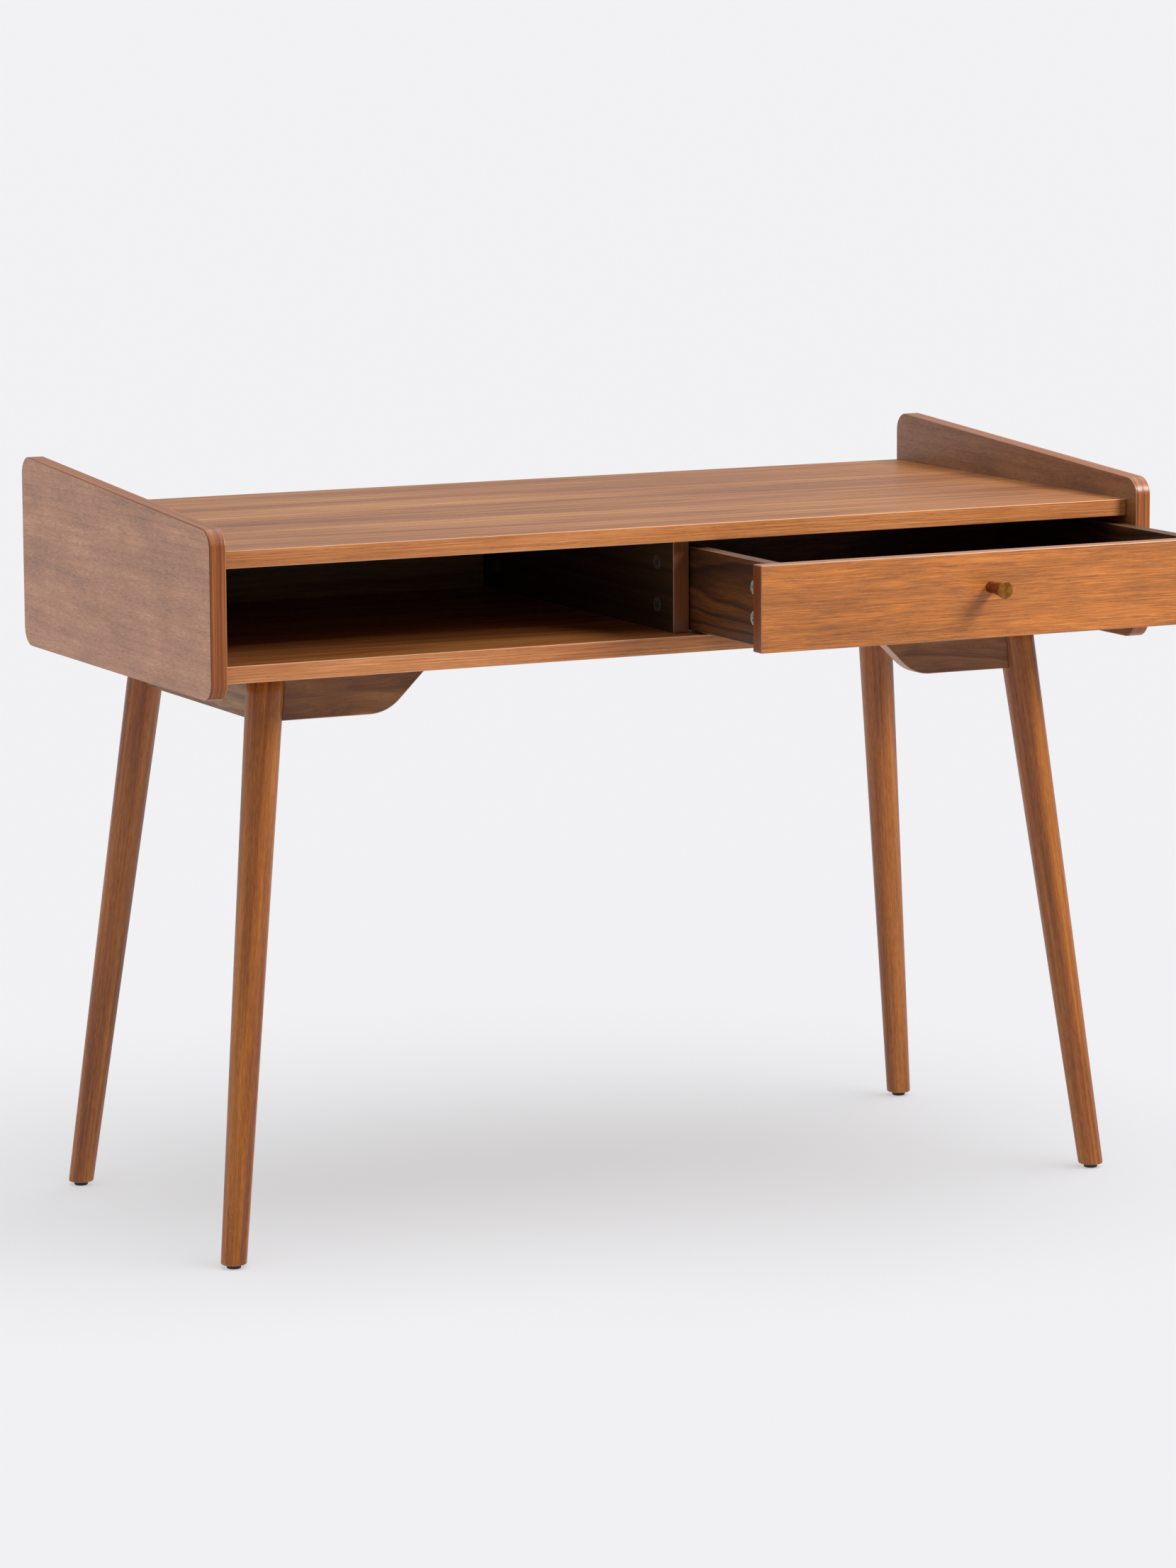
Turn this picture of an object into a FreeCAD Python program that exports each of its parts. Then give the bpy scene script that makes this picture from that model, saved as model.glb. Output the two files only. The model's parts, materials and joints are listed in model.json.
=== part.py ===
import FreeCAD, Part
import os
from math import sin, tan

# Kneehole desk: two raised side panels, a desktop and a lower board between them, an open niche
# on the left, one drawer on the right, and a frame of four splayed round legs with side rails
# and corner brackets.
# Millimetres. X runs along the desk, Y from front to back, Z up from the floor.

# Case
case_width = 1100.0
panel_depth = 528.0
desk_height = 745.0
board_thickness = 18.0
bay_height = 99.0
panel_front_rise = 23.0
panel_back_rise = 56.0
panel_drop = 15.0
panel_corner_radius = 20.0
board_recess = 20.0
arris_radius = 0.8

# Back panel, held in grooves of both boards
back_panel_thickness = 8.0
back_panel_inset = 10.0
back_groove_depth = 6.0

# Legs, from the axis at the top to the axis at the floor
leg_top_diameter = 40.0
leg_foot_diameter = 27.0
leg_side_inset = 106.0
leg_front_inset = 110.0
leg_back_inset = 102.0
leg_side_splay = 70.0
leg_depth_splay = 59.0
leg_rim_radius = 1.5

# Rails and brackets between the legs
rail_height = 53.0
rail_thickness = 18.0
bracket_reach = 191.0
bracket_slant = 54.0
bracket_corner_radius = 48.0
bracket_tip_radius = 2.0

# Drawer
drawer_open = 175.0
drawer_travel = 320.0
drawer_front_thickness = 18.0
drawer_gap_below = 1.5
drawer_gap_above = 7.5
drawer_end_gap = 2.0
drawer_side_gap = 3.0
drawer_side_thickness = 15.0
drawer_side_step = 1.0
drawer_rear_gap = 52.0
drawer_back_thickness = 15.0
drawer_bottom_thickness = 5.0
drawer_bottom_lift = 10.0
drawer_groove_depth = 6.0

# Knob, a flared turned pin
knob_length = 30.0
knob_base_diameter = 12.0
knob_face_diameter = 18.5
knob_rise = 53.0
knob_rim_radius = 0.6
knob_stem_share = 0.2
knob_flare_share = 0.62
knob_waist_share = 0.3

# Bumpers behind the drawer front
bumper_gap = 3.0
bumper_diameter = 8.0
bumper_spacing = 50.0

# Centre track of the drawer and the nylon guide that runs in it
track_width = 24.0
track_height = 10.0
track_wall = 1.2
track_slot = 12.0
track_rear_margin = 15.0
track_screw_shares = (0.1, 0.5, 0.9)
guide_thickness = 8.0
guide_width = 44.0
guide_rise = 30.0
guide_screw_spacing = 28.0
guide_screw_drop = 12.0

# Nylon glides under the drawer sides
glide_width = 12.0
glide_length = 20.0
glide_inset = 12.0
glide_spigot_diameter = 4.0
glide_spigot_depth = 8.0

# Cam fittings
cam_diameter = 15.0
cam_floor = 5.5
drawer_cam_floor = 2.5
cam_slot_width = 2.0
cam_slot_length = 10.0
cam_slot_depth = 2.0
cam_bolt_diameter = 6.0
cam_bolt_neck_diameter = 4.0
cam_bolt_neck_length = 3.0
cam_bolt_head_length = 3.0
cam_bolt_floor = 6.0
board_cam_setback = 34.0
board_cam_inset = 70.0
divider_cam_setback = 27.0
divider_cam_inset = 38.0
drawer_cam_setback = 38.0
drawer_cam_spacing = 32.0

# Dowels
dowel_diameter = 8.0
dowel_floor = 5.0
dowel_depth = 18.0
dowel_offset = 32.0
leg_dowel_core = 6.0
leg_dowel_length = 40.0
leg_dowel_edge = 13.0

# Bolts that hold the leg frame, and their insert nuts
frame_bolt_diameter = 6.0
frame_bolt_head_diameter = 10.0
frame_bolt_head_height = 6.0
frame_bolt_socket = 5.0
frame_bolt_socket_depth = 3.0
frame_bolt_recess = 10.0
frame_bolt_engagement = 12.0
rail_bolt_reach = 80.0
bracket_bolt_reach = 88.0
insert_diameter = 10.0
insert_floor = 5.0

# Screws
screw_diameter = 3.5
screw_head_diameter = 7.0
screw_head_height = 1.8
screw_floor = 6.0
screw_tip_length = 3.0
side_screw_diameter = 4.0
side_screw_head_diameter = 8.0
side_screw_length = 50.0
side_screw_spacing = 40.0
bottom_screw_length = 22.0
bottom_screw_edge = 40.0
guide_screw_length = 19.0
knob_screw_diameter = 4.0
knob_screw_head_diameter = 8.0
knob_screw_head_height = 2.4
knob_screw_bite = 10.0

# Foot pads, nailed on
pad_diameter = 15.0
pad_thickness = 4.5
pad_rim_radius = 1.2
pad_floor = 1.6
nail_diameter = 2.4
nail_head_diameter = 8.0
nail_head_thickness = 1.0
nail_depth = 16.0

# Clearances, and the overrun of every cut
seat_clearance = 0.1
fit_clearance = 0.3
guide_clearance = 0.4
bolt_clearance = 0.25
cut_overrun = 1.0

# Heights
top_underside = desk_height - board_thickness
bay_floor = top_underside - bay_height
case_underside = bay_floor - board_thickness
panel_bottom = case_underside - panel_drop
rail_bottom = case_underside - rail_height
rail_middle = case_underside - rail_height / 2
top_middle = desk_height - board_thickness / 2
floor_middle = bay_floor - board_thickness / 2
bay_middle = bay_floor + bay_height / 2
drawer_front_low = bay_floor + drawer_gap_below
drawer_front_high = top_underside - drawer_gap_above
drawer_side_low = drawer_front_low + drawer_side_step
drawer_side_high = drawer_front_high - drawer_side_step
drawer_side_middle = (drawer_side_low + drawer_side_high) / 2
drawer_bottom_low = drawer_side_low + drawer_bottom_lift
drawer_bottom_high = drawer_bottom_low + drawer_bottom_thickness
drawer_back_middle = (drawer_bottom_high + drawer_side_high) / 2
track_top = bay_floor + track_height
knob_height = drawer_front_low + knob_rise

# Places along the desk
half_width = case_width / 2
inner_half_width = half_width - board_thickness
half_board = board_thickness / 2
half_rail = rail_thickness / 2
drawer_left = half_board + drawer_side_gap
drawer_right = inner_half_width - drawer_side_gap
drawer_inner_left = drawer_left + drawer_side_thickness
drawer_inner_right = drawer_right - drawer_side_thickness
drawer_middle = (drawer_left + drawer_right) / 2
drawer_front_left = -half_board
drawer_front_right = inner_half_width - drawer_end_gap
knob_place = (drawer_front_left + drawer_front_right) / 2

# Places from front to back, with the box over the open drawer's knob and the panels centred on Y
front_reach = drawer_open - board_recess + knob_length
panel_front = (front_reach - panel_depth) / 2
panel_back = panel_front + panel_depth
board_front = panel_front + board_recess
back_panel_rear = panel_back - back_panel_inset
back_panel_front = back_panel_rear - back_panel_thickness
divider_front = board_front + drawer_front_thickness + bumper_gap
divider_back = back_panel_front - seat_clearance
drawer_face = board_front - drawer_open
drawer_front_back = drawer_face + drawer_front_thickness
closed_rear = back_panel_front - drawer_rear_gap
drawer_rear = closed_rear - drawer_open
track_front = closed_rear - drawer_travel - fit_clearance - track_wall
track_rear = closed_rear + guide_thickness + track_rear_margin

vector = FreeCAD.Vector
right = vector(1, 0, 0)
back = vector(0, 1, 0)
up = vector(0, 0, 1)
sides = (("left", -1), ("right", 1))

solids = {}
groups = {}
holes = {}
parallel_share = 0.999


def box(low, high):
    size = vector(*high) - vector(*low)
    return Part.makeBox(size.x, size.y, size.z, vector(*low))


def rod(radius, start, end):
    run = end - start
    return Part.makeCylinder(radius, run.Length, start, run)


def eased(shape, direction, along=True):
    # Rounds the arrises that run along a direction, or all the others.
    edges = []
    for edge in shape.Edges:
        runs_along = abs(edge.tangentAt(edge.FirstParameter).dot(direction)) > parallel_share
        if runs_along == along:
            edges.append(edge)
    return shape.makeFillet(arris_radius, edges)


def rounded_face(corners, radii):
    arcs = []
    for index, corner in enumerate(corners):
        to_last = (corners[index - 1] - corner).normalize()
        to_next = (corners[(index + 1) % len(corners)] - corner).normalize()
        half_angle = to_last.getAngle(to_next) / 2
        inward = (to_last + to_next).normalize()
        reach = radii[index] / tan(half_angle)
        depth = radii[index] / sin(half_angle) - radii[index]
        arcs.append((corner + to_last * reach, corner + inward * depth, corner + to_next * reach))
    edges = []
    for index, (start, middle, end) in enumerate(arcs):
        edges.append(Part.makeLine(arcs[index - 1][2], start))
        if radii[index]:
            edges.append(Part.Arc(start, middle, end).toShape())
    return Part.Face(Part.Wire(edges))


def add(group, shape):
    groups.setdefault(group, []).append(shape)


def drill(tool, *names):
    for name in names:
        holes.setdefault(name, []).append(tool)


def dowel(group, start, end, *hosts):
    along = (end - start).normalize()
    radius = dowel_diameter / 2
    add(group, rod(radius, start, end))
    spare = along * seat_clearance
    drill(rod(radius + seat_clearance, start - spare, end + spare), *hosts)


def cam_joint(cams, bolts, seam, into, outward, setback, cover, cam_depth, bite, host, mate):
    # A cam in the host's face, turned on the head of a bolt that stands in the mating piece.
    cam_radius = cam_diameter / 2
    bolt_radius = cam_bolt_diameter / 2
    half_head = cam_bolt_head_length / 2
    axis_point = seam + into * setback
    face = axis_point + outward * cover
    neck_start = axis_point - into * (half_head + cam_bolt_neck_length)
    neck_end = axis_point - into * half_head
    head_end = axis_point + into * half_head
    shank = rod(bolt_radius, seam - into * bite, neck_start)
    neck = rod(cam_bolt_neck_diameter / 2, neck_start, neck_end)
    add(bolts, shank.fuse([neck, rod(bolt_radius, neck_end, head_end)]))
    turn = FreeCAD.Rotation(into, outward.cross(into), outward, "ZXY")
    cross = []
    for length, width in ((cam_slot_length, cam_slot_width), (cam_slot_width, cam_slot_length)):
        corner = vector(-length / 2, -width / 2, -cam_slot_depth)
        slot = Part.makeBox(length, width, cam_slot_depth + cut_overrun, corner)
        slot.Placement = FreeCAD.Placement(face, turn)
        cross.append(slot)
    bore_radius = bolt_radius + seat_clearance
    bore = rod(bore_radius, axis_point - into * cam_diameter, head_end + into * seat_clearance)
    add(cams, rod(cam_radius, face - outward * cam_depth, face).cut(cross + [bore]))
    cam_bottom = face - outward * (cam_depth + seat_clearance)
    drill(rod(cam_radius + seat_clearance, cam_bottom, face + outward * cut_overrun), host)
    drill(rod(bore_radius, seam - into * cut_overrun, axis_point), host)
    drill(rod(bore_radius, seam + into * cut_overrun, seam - into * (bite + seat_clearance)), mate)


def pan_screw(group, seat, into, length, diameter, head_diameter, head_height, *hosts):
    radius = diameter / 2
    tip = seat + into * length
    tip_start = seat + into * (length - screw_tip_length)
    head = rod(head_diameter / 2, seat - into * head_height, seat)
    point = Part.makeCone(radius, radius / 2, screw_tip_length, tip_start, into)
    add(group, head.fuse([rod(radius, seat, tip_start), point]))
    drill(rod(radius + seat_clearance, seat - into * cut_overrun, tip + into * seat_clearance), *hosts)


def countersunk_screw(group, face, into, length, diameter, head_diameter, *hosts):
    radius = diameter / 2
    head_radius = head_diameter / 2
    sink = head_radius - radius
    tip_start = face + into * (length - screw_tip_length)
    head = Part.makeCone(head_radius, radius, sink, face, into)
    point = Part.makeCone(radius, radius / 2, screw_tip_length, tip_start, into)
    add(group, head.fuse([rod(radius, face + into * sink, tip_start), point]))
    tip = face + into * (length + seat_clearance)
    flare = Part.makeCone(head_radius + seat_clearance, radius + seat_clearance, sink, face, into)
    drill(flare.fuse(rod(radius + seat_clearance, face - into * cut_overrun, tip)), *hosts)


# Side panels: a raised top edge that climbs to the back, four rounded corners
panel_corners = (
    (panel_front, panel_bottom),
    (panel_back, panel_bottom),
    (panel_back, desk_height + panel_back_rise),
    (panel_front, desk_height + panel_front_rise),
)
panel_radii = [panel_corner_radius] * len(panel_corners)
for side, outer_face in (("left", -half_width), ("right", inner_half_width)):
    outline = rounded_face([vector(outer_face, y, z) for y, z in panel_corners], panel_radii)
    solids[f"{side}_side_panel"] = eased(outline.extrude(right * board_thickness), right, along=False)

# Desktop and lower board between the panels, with the groove of the back panel in each
board_places = (("top_board", top_underside, top_underside), ("bottom_board", case_underside, bay_floor))
for board, low, groove in board_places:
    board_low = (-inner_half_width, board_front, low)
    board_high = (inner_half_width, panel_back, low + board_thickness)
    solids[board] = eased(box(board_low, board_high), right)
    groove_low = (-half_width, back_panel_front - seat_clearance, groove - back_groove_depth)
    groove_high = (half_width, back_panel_rear + seat_clearance, groove + back_groove_depth)
    drill(box(groove_low, groove_high), board)

back_low = bay_floor - back_groove_depth + fit_clearance
back_high = top_underside + back_groove_depth - fit_clearance
back_end = inner_half_width - fit_clearance
solids["back_panel"] = box((-back_end, back_panel_front, back_low), (back_end, back_panel_rear, back_high))

divider = box((-half_board, divider_front, bay_floor), (half_board, divider_back, top_underside))
solids["divider"] = eased(divider, up)

# Cams, cam bolts and dowels between the boards and the side panels
board_cam_depth = board_thickness - cam_floor
board_bolt_bite = board_thickness - cam_bolt_floor
for board, middle in (("top_board", top_middle), ("bottom_board", floor_middle)):
    for side, sign in sides:
        panel = f"{side}_side_panel"
        for place, step in ((board_front + board_cam_inset, 1), (panel_back - board_cam_inset, -1)):
            seam = vector(sign * inner_half_width, place, middle)
            cam_joint("board_cams", "board_cam_bolts", seam, right * -sign, -up, board_cam_setback,
                      half_board, board_cam_depth, board_bolt_bite, board, panel)
            seam += back * (step * dowel_offset)
            dowel("case_dowels", seam + right * (sign * (board_thickness - dowel_floor)),
                  seam - right * (sign * dowel_depth), board, panel)

# Cams, cam bolts and dowels of the divider
for board, seam_height, into in (("top_board", top_underside, -up), ("bottom_board", bay_floor, up)):
    for place, step in ((divider_front + divider_cam_inset, 1), (divider_back - divider_cam_inset, -1)):
        seam = vector(0, place, seam_height)
        cam_joint("divider_cams", "divider_cam_bolts", seam, into, -right, divider_cam_setback, half_board,
                  board_cam_depth, board_bolt_bite, "divider", board)
        seam += back * (step * dowel_offset)
        dowel("case_dowels", seam - into * (board_thickness - dowel_floor), seam + into * dowel_depth,
              "divider", board)

# Legs: cones along slanted axes, cut level at the lower board and at the foot pad
leg_ends = {"front": (panel_front + leg_front_inset, -1), "rear": (panel_back - leg_back_inset, 1)}


def leg_point(sign, end, height):
    top_place, out = leg_ends[end]
    fall_share = (case_underside - height) / case_underside
    return vector(sign * (half_width - leg_side_inset + leg_side_splay * fall_share),
                  top_place + out * leg_depth_splay * fall_share, height)


def leg_cone(sign, end, clearance):
    foot = leg_point(sign, end, 0)
    run = leg_point(sign, end, case_underside) - foot
    along = vector(run).normalize()
    slope_share = (leg_top_diameter - leg_foot_diameter) / 2 / run.Length
    spare = leg_top_diameter
    foot_radius = leg_foot_diameter / 2 - slope_share * spare + clearance
    top_radius = leg_top_diameter / 2 + slope_share * spare + clearance
    return Part.makeCone(foot_radius, top_radius, run.Length + 2 * spare, foot - along * spare, along)


for side, sign in sides:
    for end in leg_ends:
        leg = f"{end}_{side}_leg"
        cone = leg_cone(sign, end, 0)
        limits = cone.BoundBox
        level_low = (limits.XMin, limits.YMin, pad_thickness)
        level_high = (limits.XMax, limits.YMax, case_underside)
        level = cone.common(box(level_low, level_high))
        rim = min(level.Edges, key=lambda edge: edge.BoundBox.ZMax)
        solids[leg] = level.makeFillet(leg_rim_radius, [rim])
        foot = leg_point(sign, end, pad_thickness)
        floor_point = vector(foot.x, foot.y, 0)
        nail_start = floor_point + up * pad_floor
        head_top = nail_start + up * nail_head_thickness
        nail_tip = foot + up * nail_depth
        nail_radius = nail_diameter / 2
        nail_head = rod(nail_head_diameter / 2, nail_start, head_top)
        add("foot_pad_nails", nail_head.fuse(rod(nail_radius, head_top, nail_tip)))
        nail_room = nail_tip + up * seat_clearance
        drill(rod(nail_radius + seat_clearance, foot - up * cut_overrun, nail_room), leg)
        pad = rod(pad_diameter / 2, floor_point, foot)
        pad_rim = min(pad.Edges, key=lambda edge: edge.BoundBox.ZMax)
        head_room = rod(nail_head_diameter / 2 + seat_clearance, nail_start - up * seat_clearance,
                        head_top + up * seat_clearance)
        shank_room = rod(nail_radius + seat_clearance, nail_start, foot + up * cut_overrun)
        add("foot_pads", pad.makeFillet(pad_rim_radius, [pad_rim]).cut([head_room, shank_room]))


def frame_bolt(place, host):
    # A socket-head bolt from below, sunk in the rail or bracket, into an insert nut of the lower board.
    radius = frame_bolt_diameter / 2
    head_radius = frame_bolt_head_diameter / 2
    seat = vector(place.x, place.y, rail_bottom + frame_bolt_recess)
    top = vector(place.x, place.y, case_underside)
    tip = top + up * frame_bolt_engagement
    head_low = seat - up * frame_bolt_head_height
    socket_end = head_low + up * frame_bolt_socket_depth
    socket = rod(frame_bolt_socket / 2, head_low - up * cut_overrun, socket_end)
    bolt = rod(head_radius, head_low, seat).fuse(rod(radius, seat, tip))
    add("frame_bolts", bolt.cut(socket))
    recess_low = seat - up * (frame_bolt_recess + cut_overrun)
    drill(rod(head_radius + bolt_clearance, recess_low, seat), host)
    drill(rod(radius + bolt_clearance, seat - up * cut_overrun, top + up * cut_overrun), host)
    insert_top = top + up * (board_thickness - insert_floor)
    insert = rod(insert_diameter / 2, top, insert_top)
    thread = rod(radius + seat_clearance, top - up * cut_overrun, insert_top + up * cut_overrun)
    add("insert_nuts", insert.cut(thread))
    room_top = insert_top + up * seat_clearance
    room = rod(insert_diameter / 2 + seat_clearance, top - up * cut_overrun, room_top)
    drill(room, "bottom_board")


# Rails along each side and a bracket at each leg, coped to the legs and doweled into them
dowel_heights = (rail_bottom + leg_dowel_edge, case_underside - leg_dowel_edge)
for side, sign in sides:
    rail = f"{side}_side_rail"
    front_root = leg_point(sign, "front", rail_middle)
    rear_root = leg_point(sign, "rear", rail_middle)
    rail_low = (front_root.x - half_rail, front_root.y, rail_bottom)
    rail_high = (front_root.x + half_rail, rear_root.y, case_underside)
    solids[rail] = eased(box(rail_low, rail_high), back)
    for end, (_, out) in leg_ends.items():
        leg = f"{end}_{side}_leg"
        bracket = f"{end}_{side}_bracket"
        root = leg_point(sign, end, rail_middle)
        tip = root.x - sign * bracket_reach
        bracket_face = root.y - half_rail
        corners = (
            vector(root.x, bracket_face, case_underside),
            vector(tip, bracket_face, case_underside),
            vector(tip + sign * bracket_slant, bracket_face, rail_bottom),
            vector(root.x, bracket_face, rail_bottom),
        )
        outline = rounded_face(corners, (0, bracket_tip_radius, bracket_corner_radius, 0))
        solids[bracket] = eased(outline.extrude(back * rail_thickness), back, along=False)
        drill(leg_cone(sign, end, seat_clearance), rail, bracket)
        frame_bolt(root - back * (out * rail_bolt_reach), rail)
        frame_bolt(root - right * (sign * bracket_bolt_reach), bracket)
        for height in dowel_heights:
            axis = leg_point(sign, end, height)
            start = vector(root.x, axis.y - out * leg_dowel_core, height)
            dowel("frame_dowels", start, start - back * (out * leg_dowel_length), leg, rail)
            start = vector(axis.x - sign * leg_dowel_core, root.y, height)
            dowel("frame_dowels", start, start - right * (sign * leg_dowel_length), leg, bracket)

# Drawer front, which laps over the divider's front edge
front_low = (drawer_front_left, drawer_face, drawer_front_low)
front_high = (drawer_front_right, drawer_front_back, drawer_front_high)
drawer_front = box(front_low, front_high)
solids["drawer_front"] = drawer_front.makeFillet(arris_radius, drawer_front.Edges)

# Drawer sides, each with cams in its outer face and a dowel between them
side_places = (("left", -1, drawer_left, drawer_inner_left), ("right", 1, drawer_inner_right, drawer_right))
for side, sign, low_place, high_place in side_places:
    name = f"drawer_{side}_side"
    side_low = (low_place, drawer_front_back, drawer_side_low)
    side_high = (high_place, drawer_rear, drawer_side_high)
    solids[name] = eased(box(side_low, side_high), back)
    middle = (low_place + high_place) / 2
    for step in (-1, 1):
        seam = vector(middle, drawer_front_back, drawer_side_middle + step * drawer_cam_spacing / 2)
        cam_joint("drawer_cams", "drawer_cam_bolts", seam, back, right * sign, drawer_cam_setback,
                  drawer_side_thickness / 2, drawer_side_thickness - drawer_cam_floor,
                  drawer_front_thickness - cam_bolt_floor, name, "drawer_front")
        screw_face = middle + sign * drawer_side_thickness / 2
        screw_height = drawer_back_middle + step * side_screw_spacing / 2
        screw_start = vector(screw_face, drawer_rear - drawer_back_thickness / 2, screw_height)
        countersunk_screw("drawer_back_screws", screw_start, right * -sign, side_screw_length,
                          side_screw_diameter, side_screw_head_diameter, name, "drawer_back")
    seam = vector(middle, drawer_front_back, drawer_side_middle)
    dowel("drawer_dowels", seam - back * (drawer_front_thickness - dowel_floor), seam + back * dowel_depth,
          name, "drawer_front")
    # Nylon glide on the lower board, just under the drawer side
    glide_start = board_front + drawer_front_thickness + glide_inset
    glide_low = (middle - glide_width / 2, glide_start, bay_floor)
    glide_high = (middle + glide_width / 2, glide_start + glide_length, drawer_side_low - fit_clearance)
    spigot_top = vector(middle, glide_start + glide_length / 2, bay_floor)
    spigot_radius = glide_spigot_diameter / 2
    spigot_tip = spigot_top - up * glide_spigot_depth
    add("drawer_glides", box(glide_low, glide_high).fuse(rod(spigot_radius, spigot_tip, spigot_top)))
    spigot_room = spigot_tip - up * seat_clearance
    drill(rod(spigot_radius + seat_clearance, spigot_room, spigot_top + up * cut_overrun), "bottom_board")

# Drawer bottom in grooves of the front and sides, under the drawer back
solids["drawer_back"] = box((drawer_inner_left, drawer_rear - drawer_back_thickness, drawer_bottom_high),
                            (drawer_inner_right, drawer_rear, drawer_side_high))
groove_low = (drawer_inner_left - drawer_groove_depth, drawer_front_back - drawer_groove_depth,
              drawer_bottom_low - seat_clearance)
groove_high = (drawer_inner_right + drawer_groove_depth, drawer_rear + cut_overrun,
               drawer_bottom_high + seat_clearance)
drill(box(groove_low, groove_high), "drawer_front", "drawer_left_side", "drawer_right_side")
bottom_inset = drawer_groove_depth - fit_clearance
solids["drawer_bottom"] = box(
    (drawer_inner_left - bottom_inset, drawer_front_back - bottom_inset, drawer_bottom_low),
    (drawer_inner_right + bottom_inset, drawer_rear, drawer_bottom_high))
for place in (drawer_inner_left + bottom_screw_edge, drawer_inner_right - bottom_screw_edge):
    seat = vector(place, drawer_rear - drawer_back_thickness / 2, drawer_bottom_low)
    pan_screw("drawer_bottom_screws", seat, up, bottom_screw_length, screw_diameter, screw_head_diameter,
              screw_head_height, "drawer_bottom", "drawer_back")

# Soft bumpers on the back of the drawer front, which meet the divider's edge
for step in (-1, 1):
    start = vector(0, drawer_front_back, bay_middle + step * bumper_spacing / 2)
    add("drawer_bumpers", rod(bumper_diameter / 2, start, start + back * (bumper_gap - fit_clearance)))

# Knob, turned about its own axis, and its screw
knob_root = vector(knob_place, drawer_face, knob_height)
base_radius = knob_base_diameter / 2
face_radius = knob_face_diameter / 2


def knob_point(radius, length):
    return knob_root + right * radius - back * length


stem_end = knob_point(base_radius, knob_length * knob_stem_share)
waist_radius = base_radius + (face_radius - base_radius) * knob_waist_share
waist = knob_point(waist_radius, knob_length * knob_flare_share)
face_edge = knob_point(face_radius, knob_length)
knob_profile = Part.Wire([
    Part.makeLine(knob_root, knob_point(base_radius, 0)),
    Part.makeLine(knob_point(base_radius, 0), stem_end),
    Part.Arc(stem_end, waist, face_edge).toShape(),
    Part.makeLine(face_edge, knob_point(0, knob_length)),
    Part.makeLine(knob_point(0, knob_length), knob_root),
])
full_turn = 360
knob = Part.Face(knob_profile).revolve(knob_root, back, full_turn)
knob_rim = min((edge for edge in knob.Edges if edge.Closed), key=lambda edge: edge.BoundBox.YMax)
solids["knob"] = knob.makeFillet(knob_rim_radius, [knob_rim])
pan_screw("knob_screw", vector(knob_place, drawer_front_back, knob_height), -back,
          drawer_front_thickness + knob_screw_bite, knob_screw_diameter, knob_screw_head_diameter,
          knob_screw_head_height, "drawer_front", "knob")

# Steel centre track on the lower board, open at the top between two lips, closed at its front as the stop
half_track = track_width / 2
half_inside = half_track - track_wall
half_slot = track_slot / 2
track_inside = track_front + track_wall
track = box((drawer_middle - half_track, track_front, bay_floor),
            (drawer_middle + half_track, track_rear, track_top))
inside = box((drawer_middle - half_inside, track_inside, bay_floor + track_wall),
             (drawer_middle + half_inside, track_rear + cut_overrun, track_top - track_wall))
slot = box((drawer_middle - half_slot, track_inside, bay_floor + track_wall),
           (drawer_middle + half_slot, track_rear + cut_overrun, track_top + cut_overrun))
solids["drawer_track"] = track.cut([inside, slot])
for share in track_screw_shares:
    seat = vector(drawer_middle, track_front + (track_rear - track_front) * share, bay_floor + track_wall)
    pan_screw("drawer_track_screws", seat, -up, track_wall + board_thickness - screw_floor, screw_diameter,
              screw_head_diameter, screw_head_height, "drawer_track", "bottom_board")

# Nylon guide on the drawer back, whose head runs inside the track
guide_rear = drawer_rear + guide_thickness
lip_underside = track_top - track_wall
half_neck = half_slot - guide_clearance
half_head = half_inside - guide_clearance
half_plate = guide_width / 2
plate_low = track_top + guide_clearance
plate_high = drawer_bottom_high + guide_rise
head_low = bay_floor + track_wall + screw_head_height + guide_clearance
head_high = lip_underside - guide_clearance
plate = box((drawer_middle - half_plate, drawer_rear, plate_low),
            (drawer_middle + half_plate, guide_rear, plate_high))
neck = box((drawer_middle - half_neck, drawer_rear, head_high),
           (drawer_middle + half_neck, guide_rear, plate_low))
head = box((drawer_middle - half_head, drawer_rear, head_low),
           (drawer_middle + half_head, guide_rear, head_high))
solids["drawer_guide"] = plate.fuse([neck, head]).removeSplitter()
for step in (-1, 1):
    seat = vector(drawer_middle + step * guide_screw_spacing / 2, guide_rear, plate_high - guide_screw_drop)
    pan_screw("drawer_guide_screws", seat, -back, guide_screw_length, screw_diameter, screw_head_diameter,
              screw_head_height, "drawer_guide", "drawer_back")

# One file for each piece, with its holes, and one for each group of like fittings
os.makedirs("parts", exist_ok=True)
for name, tools in holes.items():
    solids[name] = solids[name].cut(tools)
for name, shapes in groups.items():
    solids[name] = Part.makeCompound(shapes)
for name, shape in solids.items():
    shape.exportStep(f"parts/{name}.step")
    print(name, len(shape.Solids), "solids, valid:", shape.isValid())
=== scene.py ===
import json
import math

import bmesh
import bpy
from mathutils import Matrix, Vector


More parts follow.
